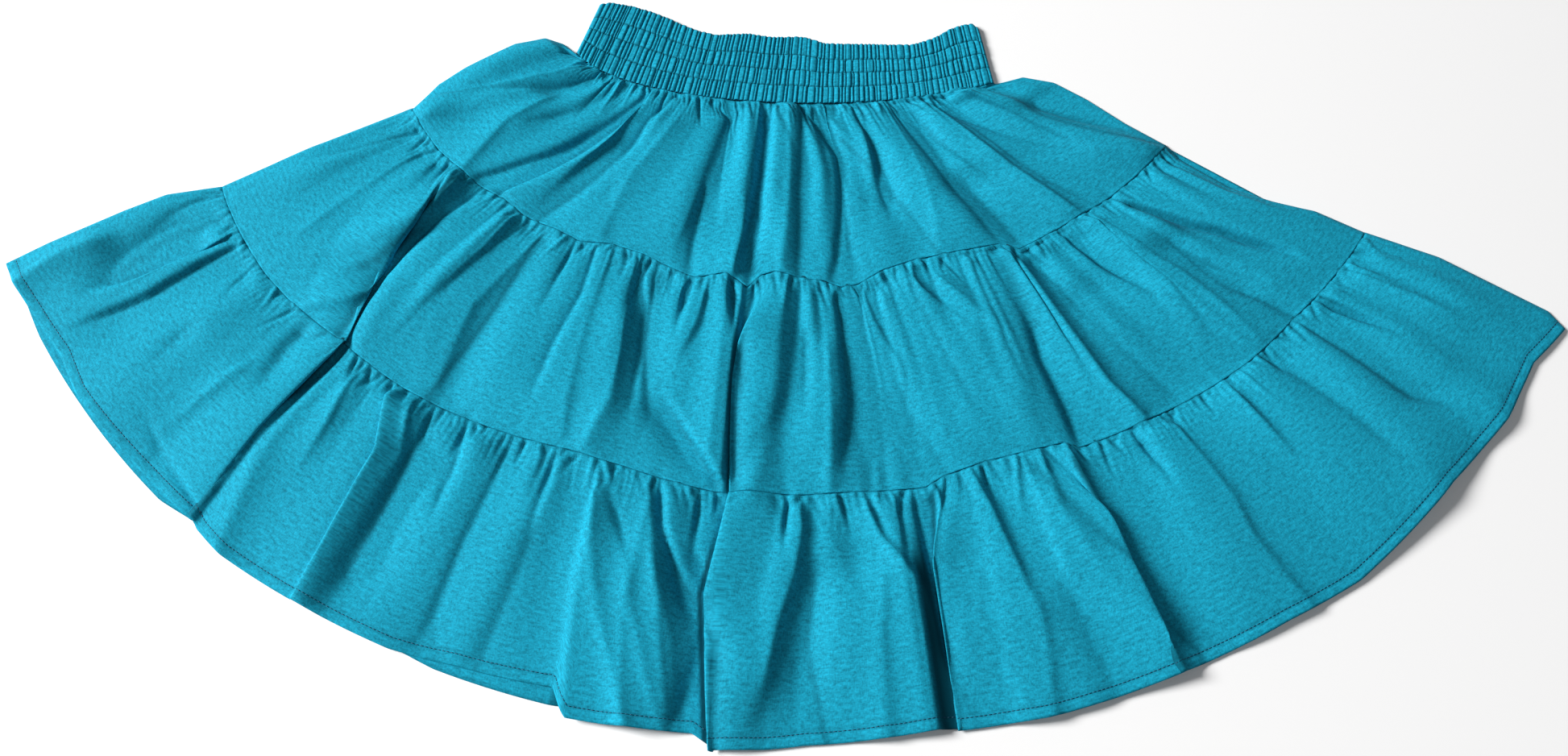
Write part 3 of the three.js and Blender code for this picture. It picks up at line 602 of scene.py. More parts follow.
def shirred_row(across, length, depth):
    """A row of shirred cloth: its height, from 0 in a groove to 1 on a rib, the slack waves on
    it, how much it is drawn in by a row of stitching, and how dark that row is."""
    widths = np.random.default_rng(RIB_SEED).uniform(0.55, 1.5, BAND_RIBS)
    grooves = np.cumsum(widths) / widths.sum() * length
    segment = sum(depth > row for row in STITCH_ROWS)
    rng = np.random.default_rng(ROW_SEED + segment)
    shift = rng.uniform(-0.9, 0.9, BAND_RIBS)
    size = rng.uniform(0.45, 1.0, BAND_RIBS)
    near = min(abs(depth - row) for row in STITCH_ROWS)
    pinch = math.exp(-((near / 0.9) ** 2))
    fan = 1 + 0.35 * math.exp(-depth / 5)
    cloth = np.full(across.shape, 1.0)
    for place, off, deep in zip(grooves, shift, size):
        away = across - place - off * (1 - pinch)
        close = np.abs(away) < 4
        groove = np.exp(-np.abs(away[close] / (RIB_GROOVE * fan)) ** 1.6)
        cloth[close] = np.minimum(cloth[close], 1 - deep * groove)
    slack = 0.12 * np.sin(across * 0.9 + segment * 2.1)
    return cloth, slack, pinch, 0.95 * math.exp(-((near / 0.6) ** 2))


def plan_row(level, share, hem_drop, is_front):
    """The loft with its sides bowed and its hem dropped."""
    points = loft_row(level, share)
    left = np.clip(1 - share / BOW_REACH, 0, None) ** 2
    right = np.clip(1 - (1 - share) / BOW_REACH, 0, None) ** 2
    roll_in = read(RIGHT_ROLL_IN, level) if is_front else 0
    points = points + np.outer(left * read(LEFT_BOW, level), outward(level, 0))
    points = points + np.outer(right * (read(RIGHT_BOW, level) - roll_in), outward(level, 1))
    drop = smooth(level, 2.35, 3) * read(hem_drop, share)
    return points + unit(down_tier(2, share)) * np.reshape(drop, (-1, 1))


def fold_row(fold, level, share, is_lap):
    """Rise and lean of one large fold along a level."""
    path, height, left, right, lean = fold
    start, end = path[0][0], path[-1][0]
    if level < start or level > end:
        return 0.0, 0.0
    run = (level - start) / (end - start)
    top, foot = (LAP_FADE, LAP_FADE) if is_lap else (TOP_FADE, FOOT_FADE)
    form = float(smooth(level, start, start + top))
    if end < len(RINGS) - 1:
        form *= float(smooth(-level, -end, -end + foot))
    fan = 1.0 if is_lap else FAN_TOP + (FAN_FOOT - FAN_TOP) * run
    away = (share - read(path, level)) * width_at(level) + (LAP_BACK * lean if is_lap else 0)
    shape = form * bump(away / (fan * np.where(away < 0, left, right)))
    return (LAP_SIZE if is_lap else SOFT_FOLD) * height * shape, lean * shape


def body_rise(tier, down):
    """Height of the front over the back along a row, without its folds."""
    top = BODY_RISE_AT_ENDS if tier == 0 else BODY_RISE_AT_SEAMS
    foot = BODY_RISE_AT_ENDS if tier == 2 else BODY_RISE_AT_SEAMS
    return top + (foot - top) * down + (BODY_RISE - BODY_RISE_AT_SEAMS) * math.sin(math.pi * down)


def seam_wander(tier, down, share):
    """How far, and which way, a row is carried along with the seams over and under it."""
    upper = read(SEAM_WANDER[tier], share) * float(smooth(-down, -WANDER_REACH, 0))
    lower = read(SEAM_WANDER[tier + 1], share) * float(smooth(down, 1 - WANDER_REACH, 1))
    return unit(down_tier(tier, share)) * (upper + lower)[:, None]


def lap_shade(tier, down, share):
    """Painted shade along a row: how dark the cloth is painted where laps cover it and in the gaps
    beside them.
    """
    level = tier + down
    shade = np.zeros(share.shape)
    for path, _, left, right, lean in LAPS:
        start, end = path[0][0], path[-1][0]
        if not start <= level <= end:
            continue
        form = float(smooth(level, start, start + LAP_SHADOW_FADE))
        if end < len(RINGS) - 1:
            form *= float(smooth(-level, -end, -end + LAP_SHADOW_FADE))
        side = 1 if lean > 0 else -1
        foot = right if lean > 0 else -left
        away = side * ((share - read(path, level)) * width_at(level) + LAP_BACK * lean - foot)
        for dark, under, beyond in LAP_SHADOWS:
            fall = np.exp(-np.where(away < 0, away / under, away / beyond) ** 2)
            shade = np.maximum(shade, dark * form * fall)
    for own_tier, path, top_width, foot_width in GAPS:
        places, depths = zip(*path)
        if own_tier == tier and depths[0] <= down <= depths[-1]:
            run = (down - depths[0]) / (depths[-1] - depths[0])
            half = top_width + (foot_width - top_width) * run
            away = (share - np.interp(down, depths, places)) * width_at(level)
            form = GAP_DARKNESS * float(smooth(run, 0, GAP_FADE))
            shade = np.maximum(shade, form * np.exp(-(away / half) ** 4))
    return shade


def crease_row(tier, down, share):
    """Rise of all creases along a row, and how dark the cloth is there: painted shade in valleys and
    by laps, and on one tier a stain.
    """
    rise = np.zeros(share.shape)
    shade = lap_shade(tier, down, share)
    width = width_at(tier + down)
    darkness, full_depth, half = VALLEY_LINE
    for path, height, left, right in CREASES[tier]:
        places, depths = np.array(path).T / [[1000], [100]]
        start, end = depths[0], depths[-1]
        if down < start - 0.02 or down > end + CREASE_FADE / 2:
            continue
        # A crease from the seam starts at a third of its height, and any other from nothing
        form = 0.35 + 0.65 * float(smooth(down, start, start + 0.09))
        if start > 0.06:
            form = float(smooth(down, start - 0.02, start + 0.15))
        if end < 0.95:
            form *= float(smooth(-down, -end - CREASE_FADE / 2, -end + CREASE_FADE))
        away = (share - np.interp(down, depths, places)) * width
        reach = np.where(away < 0, left, right)
        edge = CREASE_EDGE + ROUNDER_EDGE * smooth(reach, *ROUNDER_REACH)
        rise += CREASE_HEIGHT * height * form * np.exp(-(np.abs(away) / reach) ** edge)
        # Valleys get a line of painted shade along their floor
        if height < 0:
            line = min(1, -height / full_depth) * form
            shade = np.maximum(shade, darkness * line * np.exp(-(away / half) ** 2))
    if tier == MARK[0]:
        across = (share - MARK[1]) * width / MARK[3]
        away = np.hypot(across, (down - MARK[2]) * tier_depth(tier) / MARK[4])
        shade = np.maximum(shade, MARK_DARKNESS * np.exp(-away ** 2))
    return rise, shade


def pucker_rise(tier, downs, share):
    """Rise and shade of the short uneven puckers that run down from a gathered seam."""
    rng = np.random.default_rng(PUCKER_SEED + tier)
    count = PUCKERS[tier]
    places = (np.arange(count) + 0.5 + rng.uniform(-0.42, 0.42, count)) / count
    lengths = rng.choice(PUCKER_LENGTHS, count, p=PUCKER_CHANCES) * rng.uniform(0.7, 1.3, count)
    heights = rng.uniform(0.9, 2.4, count) * rng.choice([1, -1], count, p=[0.25, 0.75])
    heights *= PUCKER_HEIGHTS[tier]
    widths = rng.uniform(1.4, 2.6, count)
    drifts = rng.uniform(-0.012, 0.012, count)
    deep = tier_depth(tier)
    rise, shade = np.zeros((2, len(downs), len(share)))
    for place, length, height, wide, drift in zip(places, lengths, heights, widths, drifts):
        for row, down in enumerate(downs):
            run = down * deep
            if run > length:
                break
            form = min(1, run / 4) * (1 - run / length) ** 1.1
            reach = wide + run * PUCKER_SPREAD
            away = (share - place - drift * run / length) * width_at(tier + down)
            near = np.abs(away) < 5 * reach
            away = away[near]
            rise[row, near] += height * form * np.exp(-(np.abs(away) / reach) ** PUCKER_EDGE)
            # Valley puckers get a line of painted shade
            if height < 0:
                line = min(1, -height / 2.5) * form * np.exp(-(away / 1.3) ** 2)
                shade[row, near] = np.maximum(shade[row, near], line)
    return rise, shade


def front_row(tier, down, share):
    """One row of the front's middle surface and its shade, with folds and creases."""
    level = tier + down
    rise = np.full(share.shape, body_rise(tier, down))
    lean = np.zeros(share.shape)
    for fold in LAPS + FOLDS:
        fold_rise, fold_lean = fold_row(fold, level, share, fold in LAPS)
        rise = rise + fold_rise
        lean = lean + fold_lean
    from_side = np.minimum(share, 1 - share) * width_at(level)
    rounding = np.sqrt(1 - (1 - np.clip(from_side / SIDE_ROUNDING, 0, 1)) ** 2)
    along = unit(loft_row(level, share + 0.001) - loft_row(level, share - 0.001))
    plan = plan_row(level, share, FRONT_HEM_DROP, True) + along * (lean * rounding)[:, None]
    plan = plan + seam_wander(tier, down, share)
    creases, shade = crease_row(tier, down, share)
    rise = np.maximum(rise + creases, 0.3)
    height = FRONT_EDGE + (WALL / 2 + rise) * rounding
    return np.column_stack([plan - MIDDLE, height, shade])


def draw_in(cloth, ends, free, rest, stiffness):
    """Moves pairs of neighbouring points towards their distance in the cut cloth."""
    first, second = ends
    span = cloth[second] - cloth[first]
    length = np.sqrt((span * span).sum(-1)) + 1e-6
    weight = free[first] + free[second] + 1e-9
    share = (stiffness * (length - rest) / (length * weight))[..., None] * span
    cloth[first] += free[first][..., None] * share
    cloth[second] -= free[second][..., None] * share


def pairs_of(rows, columns):
    """The pairs of neighbours, in groups in which no point is met twice."""
    every = slice(None)
    odds = (0, 1)
    across = [((every, slice(odd, columns - 1, 2)), (every, slice(odd + 1, columns, 2)))
              for odd in odds]
    down = [((slice(odd, rows - 1, 2), every), (slice(odd + 1, rows, 2), every)) for odd in odds]
    slant = []
    for odd in odds:
        here, below = slice(odd, rows - 1, 2), slice(odd + 1, rows, 2)
        slant.append(((here, slice(0, columns - 1)), (below, slice(1, columns))))
        slant.append(((here, slice(1, columns)), (below, slice(0, columns - 1))))
    return across, down, slant


def buckling_waves(shape, tier):
    """Small uneven waves that buckling starts from, finest at the gathered edge."""
    rng = np.random.default_rng(SETTLE_SEED + tier)
    rows, columns = shape.shape[:2]
    down = row_places(rows)[:, None]
    width = np.linalg.norm(np.diff(shape[0], axis=0), axis=-1).sum()
    along = np.linspace(0, width, columns)[None, :]
    start = np.zeros((rows, columns))
    for wider, reach, size in START_WAVES:
        for _ in range(9):
            wave = STRIPS[tier]["pucker"] * wider * rng.uniform(0.75, 1.35)
            phase = rng.uniform(0, 2 * math.pi)
            drift = rng.uniform(-0.7, 0.7)
            ripple = np.cos(2 * math.pi * along / wave + phase + drift * down)
            start += size / 3 * ripple * np.exp(-down / reach)
    return start


def settle(shape, tier, rounds, stiffness, lap_hold):
    """Lets a strip that is cut fuller than its shape buckle into gathers and soft creases.

    Points keep their distances in the cut cloth, resist sharp bends, sink a little under
    their weight, and are drawn weakly to the large folds that the shape holds.
    """
    rows, columns = shape.shape[:2]
    cloth = shape.astype(np.float32).copy()
    down_share = row_places(rows)[:, None]
    fullness = STRIPS[tier]["fullness"]
    fuller = np.interp(down_share, FULLNESS_PLACES, fullness).astype(np.float32)

    def spans(ends):
        first, second = ends
        return np.linalg.norm(shape[second] - shape[first], axis=-1)

    across, down, slant = pairs_of(rows, columns)
    rests = [(ends, (spans(ends) * fuller).astype(np.float32), 1.0) for ends in across]
    rests += [(ends, (spans(ends) * DOWN_SLACK).astype(np.float32), 1.0) for ends in down]
    for ends in slant:
        stretch = 1 + (fuller[ends[0][0]] - 1) * SLANT_FULLNESS
        rests.append((ends, (spans(ends) * stretch).astype(np.float32), SLANT_STIFFNESS))
    cloth[..., 2] += buckling_waves(shape, tier)

    free = np.ones((rows, columns), np.float32)
    free[0] = 0
    if tier < 2:
        free[-1] = 0
    hold = np.full((rows, columns), HOLD, np.float32)
    hold *= free
    edge = np.minimum(np.arange(columns), np.arange(columns)[::-1])[None, :]
    hold += free * SIDE_HOLD * (edge < 4)
    hold += free * lap_hold.astype(np.float32)
    target = shape.astype(np.float32)
    floor = np.float32(LOWEST)
    turned = cloth.transpose(1, 0, 2)
    free_turned = free.T
    for _ in range(rounds):
        cloth[..., 2] -= SINK * free
        for ends, rest, weight in rests:
            draw_in(cloth, ends, free, rest, weight)
        for view, loose in ((turned, free_turned), (cloth, free)):
            bend = view[:-4] - 4 * view[1:-3] + 6 * view[2:-2] - 4 * view[3:-1] + view[4:]
            view[2:-2] -= stiffness * loose[2:-2, :, None] * bend
        cloth += hold[..., None] * (target - cloth)
        cloth[..., 2] = np.maximum(cloth[..., 2], floor)
    return cloth.astype(float)


def level_seams(shape, tier, share):
    """Brings a strip's two edges to the height that each seam has for both strips on it."""
    run = running(np.linalg.norm(np.diff(shape[:, :, :2], axis=0), axis=-1).mean(axis=1))
    for seam, row, away in ((tier, 0, run), (tier + 1, -1, run[-1] - run)):
        if 0 < seam < 3:
            both = [front_row(seam - 1, 1.0, share)[:, 2], front_row(seam, 0.0, share)[:, 2]]
            change = np.mean(both, axis=0) - shape[row, :, 2]
            shape[..., 2] += np.exp(-away / SEAM_BLEND)[:, None] * change[None, :]
    return shape


def roll_seams(points, shade, tier):
    """Tucks a strip's gathered top under the seam over it and rolls its foot over the next."""
    def between(ends, share, drop):
        row = ends[0] + (ends[1] - ends[0]) * share
        row[:, 2] -= drop
        return row[None]

    top, foot = points[:2], points[-2:]
    rolled, shades = [points], [shade]
    if tier > 0:
        way = top[1] - top[0]
        way /= np.linalg.norm(way[:, :2], axis=1, keepdims=True)
        tuck = top[0] - way * SEAM_TUCK
        tuck[:, 2] = top[0][:, 2] - SEAM_SINK - TUCK_SINK
        rolled = [tuck[None], between(top, 0, SEAM_SINK), between(top, 0.35, SEAM_SINK * 0.6),
                  points[1:]]
        # Painted shade in the tuck under the seam and on the row beside it
        shades = [np.full((2, len(tuck)), UNDER_SEAM_DARKNESS),
                  np.maximum(shade[:1], BESIDE_SEAM_DARKNESS), shade[1:]]
    if tier < 2:
        rolled[-1], shades[-1] = rolled[-1][:-1], shades[-1][:-1]
        rolled += [between(foot, share, drop) for share, drop in SEAM_ROLL]
        # Painted shade at the rolled edge
        shades += [shade[-1:], shade[-1:], np.maximum(shade[-1:], ROLL_DARKNESS)]
    joined = np.concatenate(rolled)
    joined[..., 2] = np.maximum(joined[..., 2], LOWEST)
    return joined, np.concatenate(shades)


def wrap_sides(points, shade):
    """Turns a front strip's side edges down to the back strip, with which it is one tube."""
    def turned(edge, inner):
        way = unit((edge - inner) * [1, 1, 0])
        steps = [edge + way * out for out, _, _ in SIDE_TURN]
        for step, (_, kept, added) in zip(steps, SIDE_TURN):
            step[:, 2] = edge[:, 2] * kept + added
        return np.stack(steps, axis=1)

    left, right = turned(points[:, 0], points[:, 2]), turned(points[:, -1], points[:, -3])
    joined = np.concatenate([left, points, right[:, ::-1]], axis=1)
    return joined, np.pad(shade, ((0, 0), (2, 2)), mode="edge")


def hem_fold(points, shade):
    """Presses the turned hem flat, with a groove where it is stitched, and paints shade in that
    groove.
    """
    width, deep, dark = HEM_GROOVE
    run = np.linalg.norm(points[1:] - points[:-1], axis=-1).mean(axis=1)
    away = np.concatenate([np.cumsum(run[::-1])[::-1], [0]])
    groove = np.exp(-((away - HEM_STITCH) / width) ** 2)
    points[..., 2] += HEM_RISE * smooth(HEM_DEPTH + 1 - away, 0, 2)[:, None]
    points[..., 2] -= deep * groove[:, None]
    points[..., 2] = np.maximum(points[..., 2], LOWEST)
    return points, np.maximum(shade, dark * groove[:, None])


def hem_line(points):
    """The line on a strip along which its hem is stitched."""
    line = []
    for column in points.transpose(1, 0, 2):
        near = column[::-1]
        away = running(np.linalg.norm(np.diff(near, axis=0), axis=-1))
        line.append([np.interp(HEM_STITCH, away, near[:, axis]) for axis in range(3)])
    line = np.array(line)
    line[:, 2] += CLOTH / 2 + STITCH_LIFT
    return line


def new_piece(name, points, faces):
    """A mesh object of points in millimetres, linked, selected and active."""
    mesh = bpy.data.meshes.new(name)
    mesh.from_pydata((points * MM).tolist(), [], faces)
    piece = bpy.data.objects.new(name, mesh)
    bpy.context.collection.objects.link(piece)
    bpy.ops.object.select_all(action="DESELECT")
    piece.select_set(True)
    bpy.context.view_layer.objects.active = piece
    return piece


def stitches(name, line, material):
    """A row of machine stitches along a line of points, each a short raised thread."""
    run = running(np.linalg.norm(np.diff(line, axis=0), axis=1))
    starts = np.arange(2, run[-1] - 2, STITCH_STEP)

    def at(place):
        return np.column_stack([np.interp(place, run, line[:, axis]) for axis in range(3)])

    first, last = at(starts), at(starts + STITCH_LENGTH)
    way = unit(last - first)
    across = np.column_stack([-way[:, 1], way[:, 0], np.zeros(len(way))])
    up = np.array([0, 0, 1.0])
    corners = []
    for end, sink in ((first, STITCH_SINK), ((first + last) / 2, 0), (last, STITCH_SINK)):
        for turn in range(6):
            angle = turn * math.pi / 3
            spoke = across * math.cos(angle) + up * math.sin(angle)
            corners.append(end + THREAD * spoke - up * sink)
    faces = []
    for ring in (0, 6):
        for turn in range(6):
            here, there = ring + turn, ring + (turn + 1) % 6
            faces.append((here, there, there + 6, here + 6))
    faces += [tuple(range(5, -1, -1)), tuple(range(12, 18))]
    every = [tuple(corner + 18 * item for corner in face)
             for item in range(len(starts)) for face in faces]
    piece = new_piece(name, np.stack(corners, axis=1).reshape(-1, 3), every)
    bpy.ops.object.mode_set(mode="EDIT")
    bpy.ops.mesh.select_all(action="SELECT")
    bpy.ops.mesh.normals_make_consistent(inside=False)
    bpy.ops.object.mode_set(mode="OBJECT")
    bpy.ops.object.shade_smooth()
    piece.data.materials.append(material)
    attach(piece, "root")
    return piece


def sheet_object(name, points, thickness, shade):
    """A grid of points, in millimetres, as a closed thin sheet with its cut as UV map.

    The painted shade of each point, and the stain where it has one, from 0 to 1, is kept as its
    pinch attribute for the cloth's material.
    """
    rows, columns = points.shape[:2]
    corner = np.arange(rows * columns).reshape(rows, columns)
    around = [corner[:-1, :-1], corner[1:, :-1], corner[1:, 1:], corner[:-1, 1:]]
    faces = np.stack(around, axis=-1).reshape(-1, 4)
    piece = new_piece(name, points.reshape(-1, 3), faces.tolist())
    mesh = piece.data
    layer = mesh.uv_layers.new(name="cut")
    uv = cut_of(points).reshape(-1, 2)
    layer.data.foreach_set("uv", (uv[faces.ravel()] * MM).ravel())
    # The pinch attribute holds painted shade, and one stain
    mesh.attributes.new("pinch", "FLOAT", "POINT").data.foreach_set("value", shade.ravel())
    mesh.polygons.foreach_set("use_smooth", [True] * len(mesh.polygons))
    wall = piece.modifiers.new("cloth", "SOLIDIFY")
    wall.thickness = thickness * MM
    wall.offset = 0
    bpy.ops.object.modifier_apply(modifier=wall.name)
    return piece


def cut_of(points):
    """Lengths along and down a strip, as its UV map."""
    across = running(np.linalg.norm(np.diff(points[-1], axis=0), axis=-1))
    down = running(np.linalg.norm(np.diff(points, axis=0), axis=-1).mean(axis=1))
    return np.stack(np.broadcast_arrays(across[None, :], down[:, None]), axis=-1)


def new_material(name, **surface):
    """A material with these values on its shader's sockets, and its node tree and shader."""
    material = bpy.data.materials.new(name)
    material.use_nodes = True
    shader = material.node_tree.nodes["Principled BSDF"]
    set_inputs(shader, surface)
    return material, material.node_tree, shader


def set_inputs(node, values):
    """Sets a node's sockets, named with underscores for spaces."""
    for socket, value in values.items():
        node.inputs[socket.replace("_", " ")].default_value = value


def noise_of(tree, place, **values):
    """Grain of a noise texture over a place."""
    noise = tree.nodes.new("ShaderNodeTexNoise")
    set_inputs(noise, values)
    tree.links.new(place, noise.inputs["Vector"])
    return noise.outputs["Fac"]


def mix_of(tree, factor, low, high):
    """A mix of two colours, of which the first may be another node's output."""
    mix = tree.nodes.new("ShaderNodeMix")
    mix.data_type = "RGBA"
    tree.links.new(factor, mix.inputs["Factor"])
    mix.inputs["B"].default_value = (*high, 1)
    if isinstance(low, bpy.types.NodeSocket):
        tree.links.new(low, mix.inputs["A"])
    else:
        mix.inputs["A"].default_value = (*low, 1)
    return mix.outputs["Result"]


def math_of(tree, operation, first, second):
    """A sum or product of an output and another output or a number."""
    node = tree.nodes.new("ShaderNodeMath")
    node.operation = operation
    tree.links.new(first, node.inputs[0])
    if isinstance(second, bpy.types.NodeSocket):
        tree.links.new(second, node.inputs[1])
    else:
        node.inputs[1].default_value = second
    return node.outputs[0]


def thread_material(settings):
    """Polyester sewing thread, a little darker and glossier than the cloth."""
    material = bpy.data.materials.get("sewing thread")
    if material:
        return material
    material, tree, shader = new_material("sewing thread", Roughness=0.45, Specular_IOR_Level=0.3)
    place = tree.nodes.new("ShaderNodeTexCoord")
    twist = noise_of(tree, place.outputs["Object"], Scale=900)
    colour = mix_of(tree, twist, [part * 0.5 for part in settings.thread], settings.thread)
    tree.links.new(colour, shader.inputs["Base Color"])
    return material


def cloth_material(settings):
    """Plain woven cotton blend: teal yarns of slightly uneven shade and a matt surface, darkened
    towards the fold shade by the painted shade, and one stain, held in the pinch attribute.
    """
    material = bpy.data.materials.get("teal cloth")
    if material:
        return material
    material, tree, shader = new_material("teal cloth", Roughness=0.75, Specular_IOR_Level=0.05,
                                          Sheen_Weight=0.01, Sheen_Roughness=0.4)
    uv = tree.nodes.new("ShaderNodeUVMap")
    uv.uv_map = "cut"

    def yarns(scale, detail):
        mapping = tree.nodes.new("ShaderNodeMapping")
        mapping.inputs["Scale"].default_value = scale
        tree.links.new(uv.outputs["UV"], mapping.inputs["Vector"])
        return noise_of(tree, mapping.outputs["Vector"], Scale=1.0, Detail=detail)

    warp, weft, slub = yarns((1000, 420, 1), 2), yarns((420, 1000, 1), 2), yarns((160, 420, 1), 1)
    all_yarns = math_of(tree, "ADD", math_of(tree, "ADD", warp, weft), slub)
    shade = tree.nodes.new("ShaderNodeMapRange")
    set_inputs(shade, {"From_Min": 1.1, "From_Max": 1.9})
    tree.links.new(all_yarns, shade.inputs["Value"])
    pale = [min(1, part * 1.36) for part in settings.dye]
    dye = mix_of(tree, shade.outputs["Result"], [part * 0.64 for part in settings.dye], pale)
    # The pinch attribute is painted shade, with one stain: it mixes the dye towards the fold shade
    # colour
    pinch = tree.nodes.new("ShaderNodeAttribute")
    pinch.attribute_name = "pinch"
    depth = math_of(tree, "MULTIPLY", pinch.outputs["Fac"], 0.85)
    fold = mix_of(tree, depth, dye, settings.fold_shade)
    tree.links.new(fold, shader.inputs["Base Color"])
    relief = tree.nodes.new("ShaderNodeBump")
    set_inputs(relief, {"Strength": 0.25, "Distance": 0.0002})
    tree.links.new(all_yarns, relief.inputs["Height"])
    tree.links.new(relief.outputs["Normal"], shader.inputs["Normal"])
    return material


def dress(piece, material, node):
    """Gives a sheet its cloth, attaches it to the root and hides the CAD node it stands for."""
    piece.data.materials.append(material)
    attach(piece, "root")
    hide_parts(node)


def colour_setting(name, description, default):
    """A colour in the panel."""
    return FloatVectorProperty(name=name, description=description, subtype="COLOR",
                               default=default, min=0, max=1)


class SkirtCloth(PropertyGroup):
    dye: colour_setting("Dye", "Colour of the cloth", (0.008, 0.272, 0.405))
    # Fold shade: the colour towards which the painted shade, and the stain, darken the cloth
    fold_shade: colour_setting("Fold shade", "Colour of the cloth where it is pinched",
                               (0.0, 0.045, 0.07))
    thread: colour_setting("Thread", "Colour of the sewing thread", (0.002, 0.07, 0.14))
    settle_rounds: IntProperty(name="Settling", description="Rounds in which the cloth settles",
                               default=260, min=0, max=2000)
    stiffness: FloatProperty(name="Stiffness", description="How much the cloth resists a bend",
                             default=0.005, min=0, max=0.06)


class SkirtStage(PropertyGroup):
    elevation: FloatProperty(name="Elevation", description="Camera's angle over the floor",
                             subtype="ANGLE", default=math.radians(67))
    distance: FloatProperty(name="Distance", description="Camera's distance from the middle",
                            subtype="DISTANCE", unit="LENGTH", default=0.951)


class SKIRT_OT_sew_tier(Operator):
    """Gathers one tier's strip of cloth onto the seam over it and lays it in its folds"""

    bl_idname = "skirt.sew_tier"
    bl_label = "Sew Tier"
    tier: IntProperty(name="Tier", description="0 at the waist, 2 at the hem", default=0,
                      min=0, max=2)

    def execute(self, context):
        cloth = context.scene.skirt_cloth
        strip = STRIPS[self.tier]
        share = np.linspace(0, 1, strip["columns"])
        downs = row_places(strip["rows"])
        shape = np.array([front_row(self.tier, down, share) for down in downs])
        shape, shade = shape[..., :3], shape[..., 3]
        shape = level_seams(shape, self.tier, share)
        # pinch here is the painted shade in the valleys of the puckers
        rise, pinch = pucker_rise(self.tier, downs, share)
        shape[..., 2] += rise
        shade = np.maximum(shade, pinch)
        lap_hold = np.zeros(shade.shape)
        for lap in LAPS:
            for row, down in enumerate(downs):
                lean = fold_row(lap, self.tier + down, share, True)[1]
                lap_hold[row] = np.maximum(lap_hold[row], smooth(np.abs(lean), 1, 8) * LAP_HOLD)
        rounds = cloth.settle_rounds
        points = settle(shape, self.tier, rounds, cloth.stiffness, lap_hold)
        threads = []
        if self.tier == 2:
            points, shade = hem_fold(points, shade)
            threads = [stitches("hem_stitches", hem_line(points), thread_material(cloth))]
        points, shade = roll_seams(points, shade, self.tier)
        points, shade = wrap_sides(points, shade)
        number = self.tier + 1
        piece = sheet_object(f"front_strip_{number}", points, CLOTH, shade)
        dress(piece, cloth_material(cloth), f"tier_{number}_front")
        return {"FINISHED"}


class SKIRT_OT_lay_backs(Operator):
    """Lays the back strips, which the front rests on"""

    bl_idname = "skirt.lay_backs"
    bl_label = "Lay Backs"

    def execute(self, context):
        material = cloth_material(context.scene.skirt_cloth)
        share = np.linspace(0, 1, BACK_GRID[0])
        downs = row_places(BACK_GRID[1])
        for tier in range(3):
            puckers, dark = pucker_rise(tier, downs, 1 - share)
            rows, shades = [], []
            for row, down in enumerate(downs):
                plan = plan_row(tier + down, share, BACK_HEM_DROP, False)
                plan = plan + seam_wander(tier, down, share) - MIDDLE
                creases, shade = crease_row(tier, down, 1 - share)
                form = math.sin(math.pi * min(1, 0.1 + down)) ** 0.5
                height = BACK_MIDDLE - BACK_RELIEF * (creases + puckers[row]) * form
                rows.append(np.column_stack([plan, np.clip(height, BACK_WALL / 2, BACK_TOP)]))
                # Painted shade of the back's creases and puckers
                shades.append(BACK_DARKNESS * np.maximum(shade, dark[row]))
            shades = np.array(shades)
            # Painted shade along the rows by the seams
            for row, darkness in BACK_SEAM_ROWS:
                shades[row] = np.maximum(shades[row], darkness)
            piece = sheet_object(f"back_strip_{tier + 1}", np.array(rows), BACK_WALL, shades)
            dress(piece, material, f"tier_{tier + 1}_back")
        return {"FINISHED"}


class SKIRT_OT_shir_waistband(Operator):
    """Shirs the waistband on its rows of elastic thread"""

    bl_idname = "skirt.shir_waistband"
    bl_label = "Shir Waistband"

    def execute(self, context):
        material = cloth_material(context.scene.skirt_cloth)
        foot = even_ring(WAIST, np.linspace(0, 1, 200))
        length = np.linalg.norm(np.diff(foot, axis=0), axis=1).sum()

        def layer(name, grid, thickness, across_of, height_of):
            columns, even_rows, near_stitches = grid
            share = np.linspace(0, 1, columns)
            across = across_of(share)
            rows, shades = [], []
            for depth in band_depths(even_rows, near_stitches):
                cloth, slack, pinch, seam = shirred_row(across, length, depth)
                height = height_of(across, depth, cloth, slack, pinch)
                rows.append(np.column_stack([band_plan(share, depth), height]))
                # Painted shade in the grooves, and the dark thread of the stitch rows
                shades.append(np.maximum((1 - cloth) * BAND_DARKNESS, seam))
            return sheet_object(name, np.array(rows), thickness, np.array(shades))

        def front_height(across, depth, cloth, slack, pinch):
            from_side = np.minimum(across, length - across)
            round_off = np.sqrt(1 - (1 - np.clip(from_side / 4, 0, 1)) ** 2)
            rise = RIB_RISE * (cloth + slack) * (1 - 0.5 * pinch)
            edge = math.sqrt(1 - (1 - min(1, depth / 1.6)) ** 2)
            return FRONT_EDGE + 0.3 + (0.9 + rise) * round_off * (0.5 + 0.5 * edge)

        def back_height(across, depth, cloth, slack, pinch):
            return BACK_WALL / 2 + BAND_BACK_RISE * (1 - cloth * (1 - 0.5 * pinch))

        piece = layer("waistband_shirring", BAND_FRONT_GRID, BAND_CLOTH,
                      lambda share: share * length, front_height)
        dress(piece, material, "waistband_front")
        piece = layer("waistband_back_layer", BAND_BACK_GRID, BACK_WALL,
                      lambda share: (1 - share) * length, back_height)
        dress(piece, material, "waistband_back")
        return {"FINISHED"}


